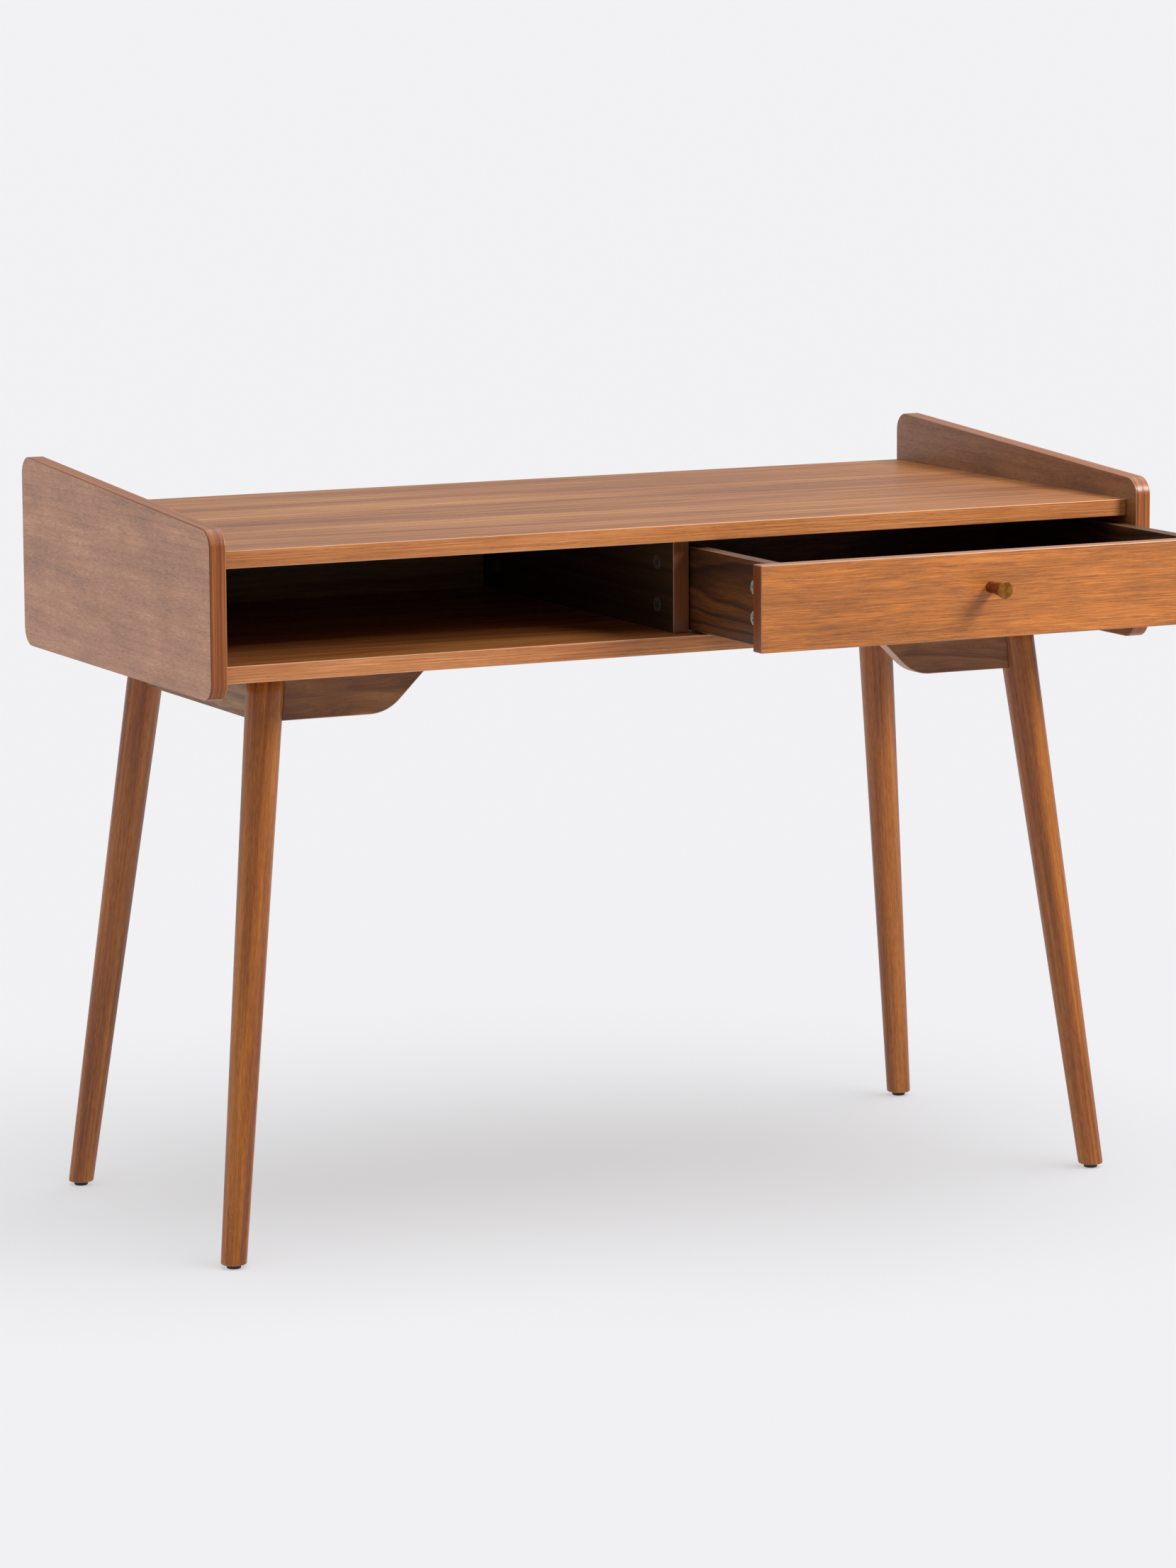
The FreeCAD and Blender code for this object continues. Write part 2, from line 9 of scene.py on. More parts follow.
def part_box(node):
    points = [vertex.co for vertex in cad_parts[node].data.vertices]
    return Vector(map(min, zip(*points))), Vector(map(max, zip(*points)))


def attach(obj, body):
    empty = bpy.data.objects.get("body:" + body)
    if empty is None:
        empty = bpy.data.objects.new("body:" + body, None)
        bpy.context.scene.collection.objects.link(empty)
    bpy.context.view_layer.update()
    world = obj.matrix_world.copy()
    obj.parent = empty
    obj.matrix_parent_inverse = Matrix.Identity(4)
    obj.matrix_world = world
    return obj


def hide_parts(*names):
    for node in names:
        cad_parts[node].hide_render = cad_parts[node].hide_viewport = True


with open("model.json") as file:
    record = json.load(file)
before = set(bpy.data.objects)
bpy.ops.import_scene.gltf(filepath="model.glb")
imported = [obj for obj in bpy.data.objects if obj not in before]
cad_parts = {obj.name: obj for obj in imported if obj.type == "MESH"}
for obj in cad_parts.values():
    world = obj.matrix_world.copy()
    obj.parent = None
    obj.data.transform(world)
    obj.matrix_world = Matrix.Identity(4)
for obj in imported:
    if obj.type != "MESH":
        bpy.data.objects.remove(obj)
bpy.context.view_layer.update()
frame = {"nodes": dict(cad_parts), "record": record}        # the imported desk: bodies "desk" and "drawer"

nodes = frame["nodes"]
mm = 0.001
sides = {"left": -1, "right": 1}
ends = ("front", "rear")
print("frame loaded:", len(nodes), "nodes")


def linear(hexCode):        # sRGB hex to the linear colour that a socket takes
    parts = [int(hexCode[k:k + 2], 16) / 255 for k in (1, 3, 5)]
    return [c / 12.92 if c < 0.04045 else ((c + 0.055) / 1.055) ** 2.4 for c in parts] + [1.0]


def addNode(tree, kind, settings=None, inputs=None, links=None, stops=None):
    node = tree.nodes.new(kind if "Node" in kind else "ShaderNode" + kind)
    if isinstance(settings, str):        # only the operation
        settings = {"operation": settings}
    for key, value in (settings or {}).items():
        setattr(node, key, value)
    for key, value in (inputs or {}).items():
        node.inputs[key].default_value = value
    for key, source in (links or {}).items():        # a socket, or a node for its first output
        tree.links.new(getattr(source, "outputs", [source])[0], node.inputs[key])
    if stops:        # the marks of a colour ramp, as (place, colour)
        marks = node.color_ramp.elements
        while len(marks) < len(stops):
            marks.new(1.0)
        for mark, (place, colour) in zip(marks, stops):
            mark.position = place
            mark.color = colour
    return node


def newMaterial(name):
    material = bpy.data.materials.new(name)
    material.use_nodes = True
    tree = material.node_tree
    tree.nodes.clear()
    shader = addNode(tree, "BsdfPrincipled")
    addNode(tree, "OutputMaterial", links={"Surface": shader})
    return material, tree, shader


noiseSpan = {"From Min": 0.3, "From Max": 0.7}        # most of a noise lies between these
# What all wood has in common: the tones within a ring, the edge of a pore, and what pores do to the gloss
woodRules = {
    "ringTones": ((0.0, 0.3), (0.55, 0.5), (0.84, 1.0), (1.0, 0.3)), "poreCore": 0.14, "poreRim": 0.34,
    "bandLow": 0.1, "bandHigh": 0.8, "tonePlaces": (0.95, 0.62, 0.4, 0.1), "leastRubAndHighlight": 0.45,
    "glossLow": -0.05, "glossHigh": 0.06, "poreDull": 0.12, "poreSink": -1.6, "relief": 0.12 * mm,
    "ior": 1.5, "coatRoughness": 0.3,
}


def woodFinish(finish):
    # Sliced or sawn wood: growth rings cut at a slant give cathedral figure, long streaks run with the
    # fibres, and short open pores catch the stain. All of it reads the "grain" attribute, in metres, with
    # X along the fibres. A second attribute, read below, is 1 on a pale arris (rubbed wear and a painted
    # highlight) and -1 on a dark glue line.
    material, tree, shader = newMaterial(finish["name"])
    grain = addNode(tree, "Attribute", {"attribute_name": "grain"})

    def repeats(pattern):        # how often a pattern comes in a metre, along the fibres and across them
        across = 1 / (finish[pattern + "Width"] * mm)
        return (1 / (finish[pattern + "Length"] * mm), across, across)

    # a slow wander of the fibres
    swayPlace = addNode(tree, "Mapping", {}, {"Scale": repeats("sway")},
                        {"Vector": grain.outputs["Vector"]})
    sway = addNode(tree, "TexNoise", {}, {"Scale": 1.0, "Detail": 2.0, "Roughness": 0.45},
                   {"Vector": swayPlace})
    swayShift = addNode(tree, "Math", "MULTIPLY_ADD", {1: finish["sway"] * mm, 2: -finish["sway"] * mm / 2},
                        {0: sway.outputs["Fac"]})
    swayVector = addNode(tree, "CombineXYZ", links={"Y": swayShift, "Z": swayShift})
    fibre = addNode(tree, "VectorMath", "ADD",
                    links={0: grain.outputs["Vector"], 1: swayVector}).outputs["Vector"]

    # growth rings: the distance from a pith line that runs out of the board at a slant
    parts = addNode(tree, "SeparateXYZ", links={"Vector": fibre})
    leaf = addNode(tree, "Math", "PINGPONG", {1: finish["leafWidth"] * mm}, {0: parts.outputs["Y"]})
    trunk = addNode(tree, "Math", "PINGPONG", {1: finish["trunkLength"] * mm}, {0: parts.outputs["X"]})
    fromHeart = addNode(tree, "Math", "ADD", {1: -finish["heart"] * mm}, {0: leaf})
    depth = addNode(tree, "Math", "MULTIPLY_ADD", {1: finish["slant"], 2: finish["heartDepth"] * mm},
                    {0: trunk})
    pith = addNode(tree, "CombineXYZ", links={"X": fromHeart, "Y": depth, "Z": parts.outputs["Z"]})
    distance = addNode(tree, "VectorMath", "LENGTH", links={0: pith})
    ringCount = addNode(tree, "Math", "MULTIPLY", {1: 1 / (finish["ring"] * mm)},
                        {0: distance.outputs["Value"]})
    ringPart = addNode(tree, "Math", "FRACT", links={0: ringCount})
    ring = addNode(tree, "ValToRGB", links={"Fac": ringPart},
                   stops=[(place, (level, level, level, 1.0)) for place, level in woodRules["ringTones"]])

    # streaks, hair-fine lines and broad clouds of stain, each spread over the whole range
    patterns = {"ring": ring}        # each a node, for its first output
    for key, detail in (("streak", 5.0), ("hair", 3.0), ("cloud", 2.0)):
        patternPlace = addNode(tree, "Mapping", {}, {"Scale": repeats(key)}, {"Vector": fibre})
        noise = addNode(tree, "TexNoise", {}, {"Scale": 1.0, "Detail": detail, "Roughness": 0.6},
                        {"Vector": patternPlace})
        patterns[key] = addNode(tree, "MapRange", {}, noiseSpan, {"Value": noise.outputs["Fac"]})

    # short pores, thicker in some bands than in others
    porePlace = addNode(tree, "Mapping", {}, {"Scale": repeats("pore")}, {"Vector": fibre})
    pore = addNode(tree, "TexVoronoi", {"feature": "F1"}, {"Scale": 1.0, "Randomness": 1.0},
                   {"Vector": porePlace})
    poreHere = addNode(tree, "MapRange", {"interpolation_type": "SMOOTHSTEP"},
                       {"From Min": woodRules["poreCore"], "From Max": woodRules["poreRim"], "To Min": 1.0,
                        "To Max": 0.0}, {"Value": pore.outputs["Distance"]})
    poreBand = addNode(tree, "MapRange", {},
                       {"From Min": woodRules["bandLow"], "From Max": woodRules["bandHigh"]},
                       {"Value": patterns["streak"]})
    pores = addNode(tree, "Math", "MULTIPLY", links={0: poreHere, 1: poreBand})

    # the tone is the sum of the patterns, each with its share
    tone = None
    for key, source in patterns.items():
        share = finish[key + "Share"]
        offset = 0.5 - share / 2 if tone is None else -share / 2
        part = addNode(tree, "Math", "MULTIPLY_ADD", {1: share, 2: offset}, {0: source})
        if tone is None:
            tone = part
        else:
            tone = addNode(tree, "Math", "ADD", links={0: tone, 1: part})
    stains = zip(woodRules["tonePlaces"], map(linear, finish["colours"]))        # from dark to light
    ramp = addNode(tree, "ValToRGB", links={"Fac": tone}, stops=sorted(stains))
    poreShare = addNode(tree, "Math", "MULTIPLY", {1: finish["poreDepth"]}, {0: pores})
    withPores = addNode(tree, "Mix", {"data_type": "RGBA"}, {7: linear(finish["poreColour"])},
                        {0: poreShare, 6: ramp})

    # arrises are paler, unevenly, from rubbed wear and a painted highlight, and a glue line shows dark
    wear = addNode(tree, "Attribute", {"attribute_name": "wear"})
    uneven = addNode(tree, "MapRange", {}, {"To Min": woodRules["leastRubAndHighlight"], "To Max": 1.0},
                     {"Value": patterns["hair"]})
    colour = withPores.outputs[2]
    for mark, paint, amount in ((1.0, "wearAndHighlightColour", finish["wear"]), (-1.0, "seamColour", 1.0)):
        here = addNode(tree, "MapRange", {}, {"From Max": mark, "To Max": amount},
                       {"Value": wear.outputs["Fac"]})
        share = addNode(tree, "Math", "MULTIPLY", links={0: here, 1: uneven})
        painted = addNode(tree, "Mix", {"data_type": "RGBA"}, {7: linear(finish[paint])},
                          {0: share, 6: colour})
        colour = painted.outputs[2]

    rough = addNode(tree, "MapRange", {},
                    {"To Min": finish["roughness"] + woodRules["glossLow"],
                     "To Max": finish["roughness"] + woodRules["glossHigh"]}, {"Value": patterns["hair"]})
    roughPores = addNode(tree, "Math", "MULTIPLY_ADD", {1: woodRules["poreDull"]}, {0: pores, 2: rough})
    height = addNode(tree, "Math", "MULTIPLY_ADD", {1: woodRules["poreSink"]},
                     {0: pores, 2: patterns["hair"]})
    bump = addNode(tree, "Bump", {}, {"Strength": finish["bump"], "Distance": woodRules["relief"]},
                   {"Height": height})
    tree.links.new(colour, shader.inputs["Base Color"])
    tree.links.new(roughPores.outputs[0], shader.inputs["Roughness"])
    tree.links.new(bump.outputs["Normal"], shader.inputs["Normal"])
    shader.inputs["IOR"].default_value = woodRules["ior"]
    shader.inputs["Coat Weight"].default_value = finish["coat"]
    shader.inputs["Coat Roughness"].default_value = woodRules["coatRoughness"]
    return material


# Walnut veneer under satin lacquer: stain-dark pores and a soft sheen that turns milky at a low angle.
# Lengths are in millimetres. Pores are really 0.3 mm wide, and are drawn wider so that they show.
walnut = {
    # pale arrises: rubbed wear and a painted highlight
    "poreColour": "#4E260C", "wearAndHighlightColour": "#E6BC9C", "seamColour": "#52200E", "wear": 0.75,
    "swayLength": 420, "swayWidth": 130, "sway": 18, "leafWidth": 165, "heart": 70, "heartDepth": 10,
    "trunkLength": 800, "slant": 0.05, "ring": 8.5, "streakLength": 240, "streakWidth": 6.5,
    "hairLength": 55, "hairWidth": 1.8, "cloudLength": 420, "cloudWidth": 60, "poreLength": 17,
    "poreWidth": 2.6, "ringShare": 0.22, "streakShare": 0.4, "hairShare": 0.26, "cloudShare": 0.34,
    "poreDepth": 0.6, "roughness": 0.38, "bump": 0.25, "coat": 0.0,
}
# Side panels: plain crown-cut veneer, a haze of short pores and faint broad clouds.
panelFace = dict(
    walnut, name="crownCutWalnutVeneer", colours=("#7F4E2D", "#A0663E", "#B2744B", "#C59064"),
    streakShare=0.16, hairLength=10, hairWidth=1.0, hairShare=0.46, cloudLength=110, cloudWidth=40,
    cloudShare=0.38, ring=9, ringShare=0.18, poreLength=7, poreWidth=1.2, poreDepth=0.44, coat=0.2)
# Their inner faces: a darker, browner copy of the veneer, painted shade for the faces turned from the lamps.
panelInner = dict(
    panelFace, name="shadedBrownWalnutVeneer", colours=("#653D1D", "#805029", "#8F5C33", "#9E7144"), coat=0.0)
# Desktop and shelf: long broad bands of figure, fine lines faint under the lacquer.
topFace = dict(
    walnut, name="plainSlicedWalnutVeneer", colours=("#623416", "#8C5429", "#A46735", "#C08E4B"),
    streakLength=520, streakWidth=5.5, streakShare=0.36, ring=18, ringShare=0.28, cloudLength=760,
    cloudWidth=64, cloudShare=0.4, hairLength=60, hairWidth=1.4, hairShare=0.22, poreLength=16,
    poreWidth=1.6, poreDepth=0.3, swayLength=600, leafWidth=190, heart=60)
# Back of the shelf: dark printed foil, long bands and hardly a shine. The divider's face is a darker copy
# still, painted shade for its place deep in the shelf.
nicheFoil = dict(
    topFace, name="darkNicheFoil", colours=("#4A3118", "#684A29", "#785A35", "#89754C"),
    roughness=0.55, bump=0.12, wear=0.3)
dividerShadeFoil = dict(
    nicheFoil, name="shadedDarkDividerFoil", colours=("#24150B", "#332012", "#3D2817", "#4A3520"))
# Drawer front: quarter-cut veneer, fine wavy lines and short dashes over patches of orange and brown.
frontFace = dict(
    walnut, name="quarterCutWalnutVeneer", colours=("#764622", "#9D5D28", "#B86C2D", "#D3853A"),
    streakLength=160, streakWidth=1.4, streakShare=0.45, hairLength=24, hairWidth=0.9, hairShare=0.43,
    cloudLength=160, cloudWidth=30, cloudShare=0.32, ringShare=0.08, poreLength=11, poreWidth=1.0,
    poreDepth=0.48, sway=6, swayLength=140, swayWidth=40)
# Edge banding, thin strips cut along the fibres: straight fine lines, more orange than the faces.
boardEdge = dict(
    walnut, name="walnutEdgeBanding", colours=("#774320", "#AA6635", "#C47E47", "#E3A575"),
    sway=3, ringShare=0.0, streakLength=260, streakWidth=1.5, streakShare=0.32, hairLength=40, hairWidth=0.9,
    hairShare=0.3, poreLength=14, poreWidth=1.2, poreDepth=0.36, wear=0.72, roughness=0.42)
# The banding of the panels took more stain: darker lines that run right round the corners.
panelEdge = dict(
    boardEdge, name="darkWalnutEdgeBanding", colours=("#491D04", "#7D3D0A", "#954E11", "#B26F26"),
    streakLength=700, streakWidth=2.2, streakShare=0.66, hairLength=90, cloudShare=0.2,
    wear=0.5, bump=0.4, roughness=0.32)
# Darker copies of the banding, painted shade: in the divider's shade and at the drawer front's ends.
dividerEdge = dict(
    boardEdge, name="shadedWalnutEdgeBanding", colours=("#421B04", "#612E09", "#6F380F", "#854C1F"),
    wear=0.5)
shadedEndEdge = dict(
    boardEdge, name="shadedEndWalnutEdgeBanding", colours=("#4F2102", "#733405", "#86410A", "#9B5617"))
# Stained solid hardwood for rails and brackets: broad wavy figure, dull sheen, end grain rubbed pale.
stainedFrame = dict(
    walnut, name="stainedHardwoodFrame", colours=("#43220B", "#70401B", "#895629", "#AA763C"),
    poreColour="#2E180C", sway=46, swayLength=150, swayWidth=55, ring=15, ringShare=0.36, streakShare=0.1,
    hairShare=0.16, cloudLength=120, cloudWidth=30, cloudShare=0.36, poreLength=6, poreWidth=0.9,
    poreDepth=0.32, roughness=0.45, wearAndHighlightColour="#D6B8A4")
# The rails are a paler, greyer copy of the stain, a painted sheen of the light grazing them; the sanded edge
# of the brackets took less stain still.
sheenLitRail = dict(
    stainedFrame, name="sheenLitHardwoodRail", colours=("#523116", "#885930", "#A87847", "#CEA267"))
frameEdge = dict(
    stainedFrame, name="sandedHardwoodEdge", colours=("#89624A", "#A97E63", "#C29578", "#DEB497"),
    ringShare=0.0, sway=3)
# Turned solid legs, stained and lacquered: long soft bands from flat to rift, no hard lines.
turnedLeg = dict(
    walnut, name="turnedStainedLeg", colours=("#5A2A09", "#894715", "#A45E1C", "#C07629"),
    sway=6, swayLength=300, swayWidth=40, leafWidth=400, heart=-24, heartDepth=26, slant=0.012, ring=11,
    ringShare=0.08, streakLength=320, streakWidth=3, streakShare=0.26, hairLength=12, hairWidth=0.9,
    hairShare=0.3, cloudLength=380, cloudWidth=12, cloudShare=0.44, poreLength=7, poreWidth=0.9,
    poreDepth=0.36, roughness=0.36, wear=0.3)
# Dark walnut foil on particle board for the drawer box: printed wavy streaks, flat sheen.
darkFoil = dict(
    walnut, name="darkWalnutFoil", colours=("#1D0B03", "#3A1D07", "#542D0E", "#744319"),
    poreColour="#1E0F07", sway=44, swayLength=190, swayWidth=60, ring=12, ringShare=0.5, streakShare=0.35,
    hairShare=0.16, roughness=0.5, bump=0.12, wear=0.6, wearAndHighlightColour="#BE8A5C")
finishes = {look: woodFinish(finish) for look, finish in (
    ("panel", panelFace), ("panelInner", panelInner), ("top", topFace), ("niche", nicheFoil),
    ("dividerFace", dividerShadeFoil), ("front", frontFace), ("boardEdge", boardEdge), ("panelEdge", panelEdge),
    ("dividerEdge", dividerEdge), ("shadedEndEdge", shadedEndEdge), ("frame", stainedFrame), ("rail", sheenLitRail),
    ("frameEdge", frameEdge), ("leg", turnedLeg), ("foil", darkFoil))}
print("wood finishes made:", len(finishes))

# What all small fittings have in common
fittingRules = {"detail": 4.0, "tonePlaces": (0.35, 0.65), "glossSpan": 0.08, "relief": 0.1 * mm}


def fittingFinish(finish):
    # Small fittings: two tones in soft clouds, with a fine grit in the gloss and in the surface.
    material, tree, shader = newMaterial(finish["name"])
    place = addNode(tree, "TexCoord")
    cloud, grit = [addNode(tree, "TexNoise", {},
                           {"Scale": 1 / (finish[key] * mm), "Detail": fittingRules["detail"]},
                           {"Vector": place.outputs["Object"]}) for key in ("cloud", "grit")]
    tones = list(zip(fittingRules["tonePlaces"], map(linear, finish["colours"])))
    tone = addNode(tree, "ValToRGB", links={"Fac": cloud.outputs["Fac"]}, stops=tones)
    gloss = {"To Min": finish["roughness"] - fittingRules["glossSpan"],
             "To Max": finish["roughness"] + fittingRules["glossSpan"]}
    rough = addNode(tree, "MapRange", {}, dict(noiseSpan, **gloss), {"Value": grit.outputs["Fac"]})
    bump = addNode(tree, "Bump", {}, {"Strength": finish["bump"], "Distance": fittingRules["relief"]},
                   {"Height": grit.outputs["Fac"]})
    tree.links.new(tone.outputs["Color"], shader.inputs["Base Color"])
    tree.links.new(rough.outputs["Result"], shader.inputs["Roughness"])
    tree.links.new(bump.outputs["Normal"], shader.inputs["Normal"])
    shader.inputs["Metallic"].default_value = finish["metallic"]
    return material


# Particle board in the bores: pressed chips of pale wood, loose and matt.
chipCore = {"name": "particleBoardCore", "colours": ("#7B5A3A", "#CDAE82"), "cloud": 1.6, "grit": 0.8,
            "roughness": 0.88, "bump": 0.8, "metallic": 0.0}
# Die-cast zinc cams, tumbled: pale grey metal with a dull grainy skin.
castZinc = {"name": "dieCastZinc", "colours": ("#B9BAB9", "#DADAD8"), "cloud": 3.0, "grit": 0.35,
            "roughness": 0.58, "bump": 0.35, "metallic": 1.0}
# The cams of the divider: a darker grey copy of the zinc, painted shade for their place deep in the shelf.
shadedZincFinish = dict(castZinc, name="shadedDieCastZinc", colours=("#77726C", "#97928B"), roughness=0.6)
# Zinc-plated steel screws and track: cool grey with faint straw patches.
platedSteel = {"name": "zincPlatedSteel", "colours": ("#A9ADB2", "#C2BDAE"), "cloud": 5.0, "grit": 0.5,
               "roughness": 0.34, "bump": 0.15, "metallic": 1.0}
# Beech dowels: pale pinkish wood in tight flecks.
beechRod = {"name": "turnedBeech", "colours": ("#C79B6B", "#DDB88A"), "cloud": 2.2, "grit": 0.6,
            "roughness": 0.6, "bump": 0.3, "metallic": 0.0}
# Moulded nylon glides and guide: milky white with a waxy skin.
mouldedNylon = {"name": "mouldedNylon", "colours": ("#DDD9CE", "#EAE7DF"), "cloud": 6.0, "grit": 0.4,
                "roughness": 0.42, "bump": 0.1, "metallic": 0.0}
# Foot pads of black polyethylene: dark, slightly scuffed.
footPlastic = {"name": "mouldedPolyethylene", "colours": ("#1A1817", "#2E2A27"), "cloud": 4.0, "grit": 0.5,
               "roughness": 0.55, "bump": 0.3, "metallic": 0.0}
# Bumpers of soft polyurethane: greyish, half clear, dusty.
softBumper = {"name": "castPolyurethane", "colours": ("#8F8B84", "#B3AFA6"), "cloud": 2.5, "grit": 0.5,
              "roughness": 0.4, "bump": 0.15, "metallic": 0.0}
chipboard, zinc, shadedZinc, steel, beech, nylon, plastic, bumper = [fittingFinish(finish) for finish in (
    chipCore, castZinc, shadedZincFinish, platedSteel, beechRod, mouldedNylon, footPlastic, softBumper)]

# Turned brass, dulled by a brown lacquer: rings from the tool on the face and round the side.
agedBrass = {"colours": ("#7A4B1C", "#A36E36"), "ring": 0.5, "cloud": 7.0, "roughness": 0.44, "bump": 0.2,
             "glossLow": -0.08, "glossHigh": 0.1, "relief": 0.05 * mm, "ringDetail": 2.0, "cloudDetail": 3.0}
low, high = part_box("knob")
brass, tree, shader = newMaterial("turnedAgedBrass")
place = addNode(tree, "TexCoord")
centred = addNode(tree, "Mapping", {}, {"Location": (-(low.x + high.x) / 2, -low.y, -(low.z + high.z) / 2)},
                  {"Vector": place.outputs["Object"]})
parts = addNode(tree, "SeparateXYZ", links={"Vector": centred.outputs["Vector"]})
flat = addNode(tree, "CombineXYZ", links={"X": parts.outputs["X"], "Z": parts.outputs["Z"]})
radius = addNode(tree, "VectorMath", "LENGTH", links={0: flat})
toolPath = addNode(tree, "Math", "ADD", links={0: radius.outputs["Value"], 1: parts.outputs["Y"]})
turning = addNode(tree, "TexNoise", {"noise_dimensions": "1D"},
                  {"Scale": 1 / (agedBrass["ring"] * mm), "Detail": agedBrass["ringDetail"]},
                  {"W": toolPath})
tarnish = addNode(tree, "TexNoise", {},
                  {"Scale": 1 / (agedBrass["cloud"] * mm), "Detail": agedBrass["cloudDetail"]},
                  {"Vector": place.outputs["Object"]})
brassTones = list(zip(fittingRules["tonePlaces"], map(linear, agedBrass["colours"])))
brassTone = addNode(tree, "ValToRGB", links={"Fac": tarnish.outputs["Fac"]}, stops=brassTones)
brassRough = addNode(tree, "MapRange", {},
                     {"To Min": agedBrass["roughness"] + agedBrass["glossLow"],
                      "To Max": agedBrass["roughness"] + agedBrass["glossHigh"]},
                     {"Value": turning.outputs["Fac"]})
brassBump = addNode(tree, "Bump", {}, {"Strength": agedBrass["bump"], "Distance": agedBrass["relief"]},
                    {"Height": turning.outputs["Fac"]})
tree.links.new(brassTone.outputs["Color"], shader.inputs["Base Color"])
tree.links.new(brassRough.outputs["Result"], shader.inputs["Roughness"])
tree.links.new(brassBump.outputs["Normal"], shader.inputs["Normal"])
shader.inputs["Metallic"].default_value = 1.0

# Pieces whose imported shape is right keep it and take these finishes
dressed = {"knob": brass, "foot_pads": plastic, "foot_pad_nails": steel, "drawer_glides": nylon,
           "drawer_guide": nylon, "drawer_track": steel, "board_cam_bolts": steel,
           "divider_cam_bolts": steel, "drawer_cam_bolts": steel, "insert_nuts": steel, "case_dowels": beech,
           "frame_dowels": beech, "drawer_dowels": beech, "drawer_bumpers": bumper}
for node, material in dressed.items():
    nodes[node].material_slots[0].material = material
print("packed pieces dressed:", len(dressed))


def settle(piece, body, slot, *replaced):
    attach(piece, body)
    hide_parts(*replaced)


def baked(piece):        # the piece's own mesh after its modifiers, which then go
    graph = bpy.context.evaluated_depsgraph_get()
    made = bpy.data.meshes.new_from_object(piece.evaluated_get(graph), preserve_all_data_layers=True,
                                           depsgraph=graph)
    piece.modifiers.clear()
    piece.data = made
    made.name = piece.name


def placed(name, mesh):
    piece = bpy.data.objects.new(name, mesh)
    bpy.context.scene.collection.objects.link(piece)
    return piece


def roundedOutline(corners, radii, steps):
    # Each corner becomes an arc, and a spare point beside it keeps the straight runs flat in shading.
    spare = 2 * mm
    outline = []
    for k, corner in enumerate(corners):
        corner = Vector(corner)
        toLast = (Vector(corners[k - 1]) - corner).normalized()
        toNext = (Vector(corners[(k + 1) % len(corners)]) - corner).normalized()
        half = toLast.angle(toNext) / 2
        reach = radii[k] / math.tan(half)
        centre = corner + (toLast + toNext).normalized() * (radii[k] / math.sin(half))
        first = (corner + toLast * reach - centre).normalized()
        last = (corner + toNext * reach - centre).normalized()
        sweep = first.angle_signed(last)
        outline.append((centre + first * radii[k] + toLast * spare, first))
        for step in range(steps + 1):
            normal = Matrix.Rotation(-sweep * step / steps, 2) @ first
            outline.append((centre + normal * radii[k], normal))
        outline.append((centre + last * radii[k] + toNext * spare, last))
    return outline


def boardPiece(name, outline, axis, low, thickness, board, shift):
    # A flat board: two faces, an edge band all round and eased arrises between them. The outline lies in
    # the two axes other than the thickness, and the "grain" map has its first coordinate along the fibres.
    easeSteps = 4
    arris = board["arris"] * mm
    # arris marks of the two sides: rubbed wear with a painted highlight, or a dark glue line where negative
    lowRubAndHighlight, highRubAndHighlight = board.get("rub", (1, 1))
    topRub = board.get("topRub", 0.0)        # painted highlight: paler where the band faces up, as if lit from above
    bandStart = board.get("bandStart", 0) * mm        # where on its roll the edge band was cut
    faceLook, bandLook, farLook = (board["looks"] + board["looks"][:1])[:3]
    looks = list(dict.fromkeys((faceLook, bandLook, farLook)))
    profile = []
    for step in range(easeSteps + 1):
        turn = math.pi / 2 * step / easeSteps
        rub = math.sin(math.pi * step / easeSteps)
        profile.append((arris * (1 - math.sin(turn)), arris * (1 - math.cos(turn)), rub))
    profile = ([(inset, rise, lowRubAndHighlight * rub) for inset, rise, rub in profile]
               + [(inset, thickness - rise, highRubAndHighlight * rub) for inset, rise, rub in reversed(profile)])
    count = len(outline)
    run = [0.0]
    for k in range(count):
        run.append(run[-1] + (outline[(k + 1) % count][0] - outline[k][0]).length)
    climb = [0.0]
    for k in range(1, len(profile)):
        climb.append(climb[-1] + math.dist(profile[k][:2], profile[k - 1][:2]))
    work = bmesh.new()
    grainMap = work.loops.layers.uv.new("grain")
    rubAndHighlightLayer = work.verts.layers.float.new("wear")
    rings = []
    for row, (inset, rise, rub) in enumerate(profile):
        onFace = row in (0, len(profile) - 1)
        ring = []
        for point, normal in outline:
            spot = list(point - normal * inset)
            spot.insert(axis, low + rise)
            vert = work.verts.new(spot)
            # pale arris: rubbed wear and a painted highlight; on the band, a painted highlight where it
            # faces up
            vert[rubAndHighlightLayer] = 0.0 if onFace else rub + topRub * max(0.0, normal[1])
            ring.append(vert)
        rings.append(ring)
    a, b = [k for k in range(3) if k != axis]
    farFace = 0.37        # the two faces are different leaves of veneer
    for ring, leaf, look in ((rings[0], 0.0, faceLook), (rings[-1], farFace, farLook)):
        face = work.faces.new(ring)
        face.material_index = looks.index(look)
        for loop in face.loops:
            loop[grainMap].uv = (loop.vert.co[a] + shift[0], loop.vert.co[b] + shift[1] + leaf)
    for k in range(len(profile) - 1):
        for j in range(count):
            after = (j + 1) % count
            face = work.faces.new((rings[k][j], rings[k][after], rings[k + 1][after], rings[k + 1][j]))
            face.material_index = looks.index(bandLook)
            face.smooth = True
            spots = ((j, k), (j + 1, k), (j + 1, k + 1), (j, k + 1))
            for loop, (along, up) in zip(face.loops, spots):
                loop[grainMap].uv = (run[along] + shift[0] + bandStart, climb[up] + shift[1])
    for ring in rings[easeSteps:easeSteps + 2]:        # crisp lines between the arrises and the flat band
        for j in range(count):
            work.edges.get((ring[j], ring[(j + 1) % count])).smooth = False
    bmesh.ops.recalc_face_normals(work, faces=work.faces)
    mesh = bpy.data.meshes.new(name)
    work.to_mesh(mesh)
    work.free()
    for look in looks:
        mesh.materials.append(finishes[look])
    return placed(name, mesh)


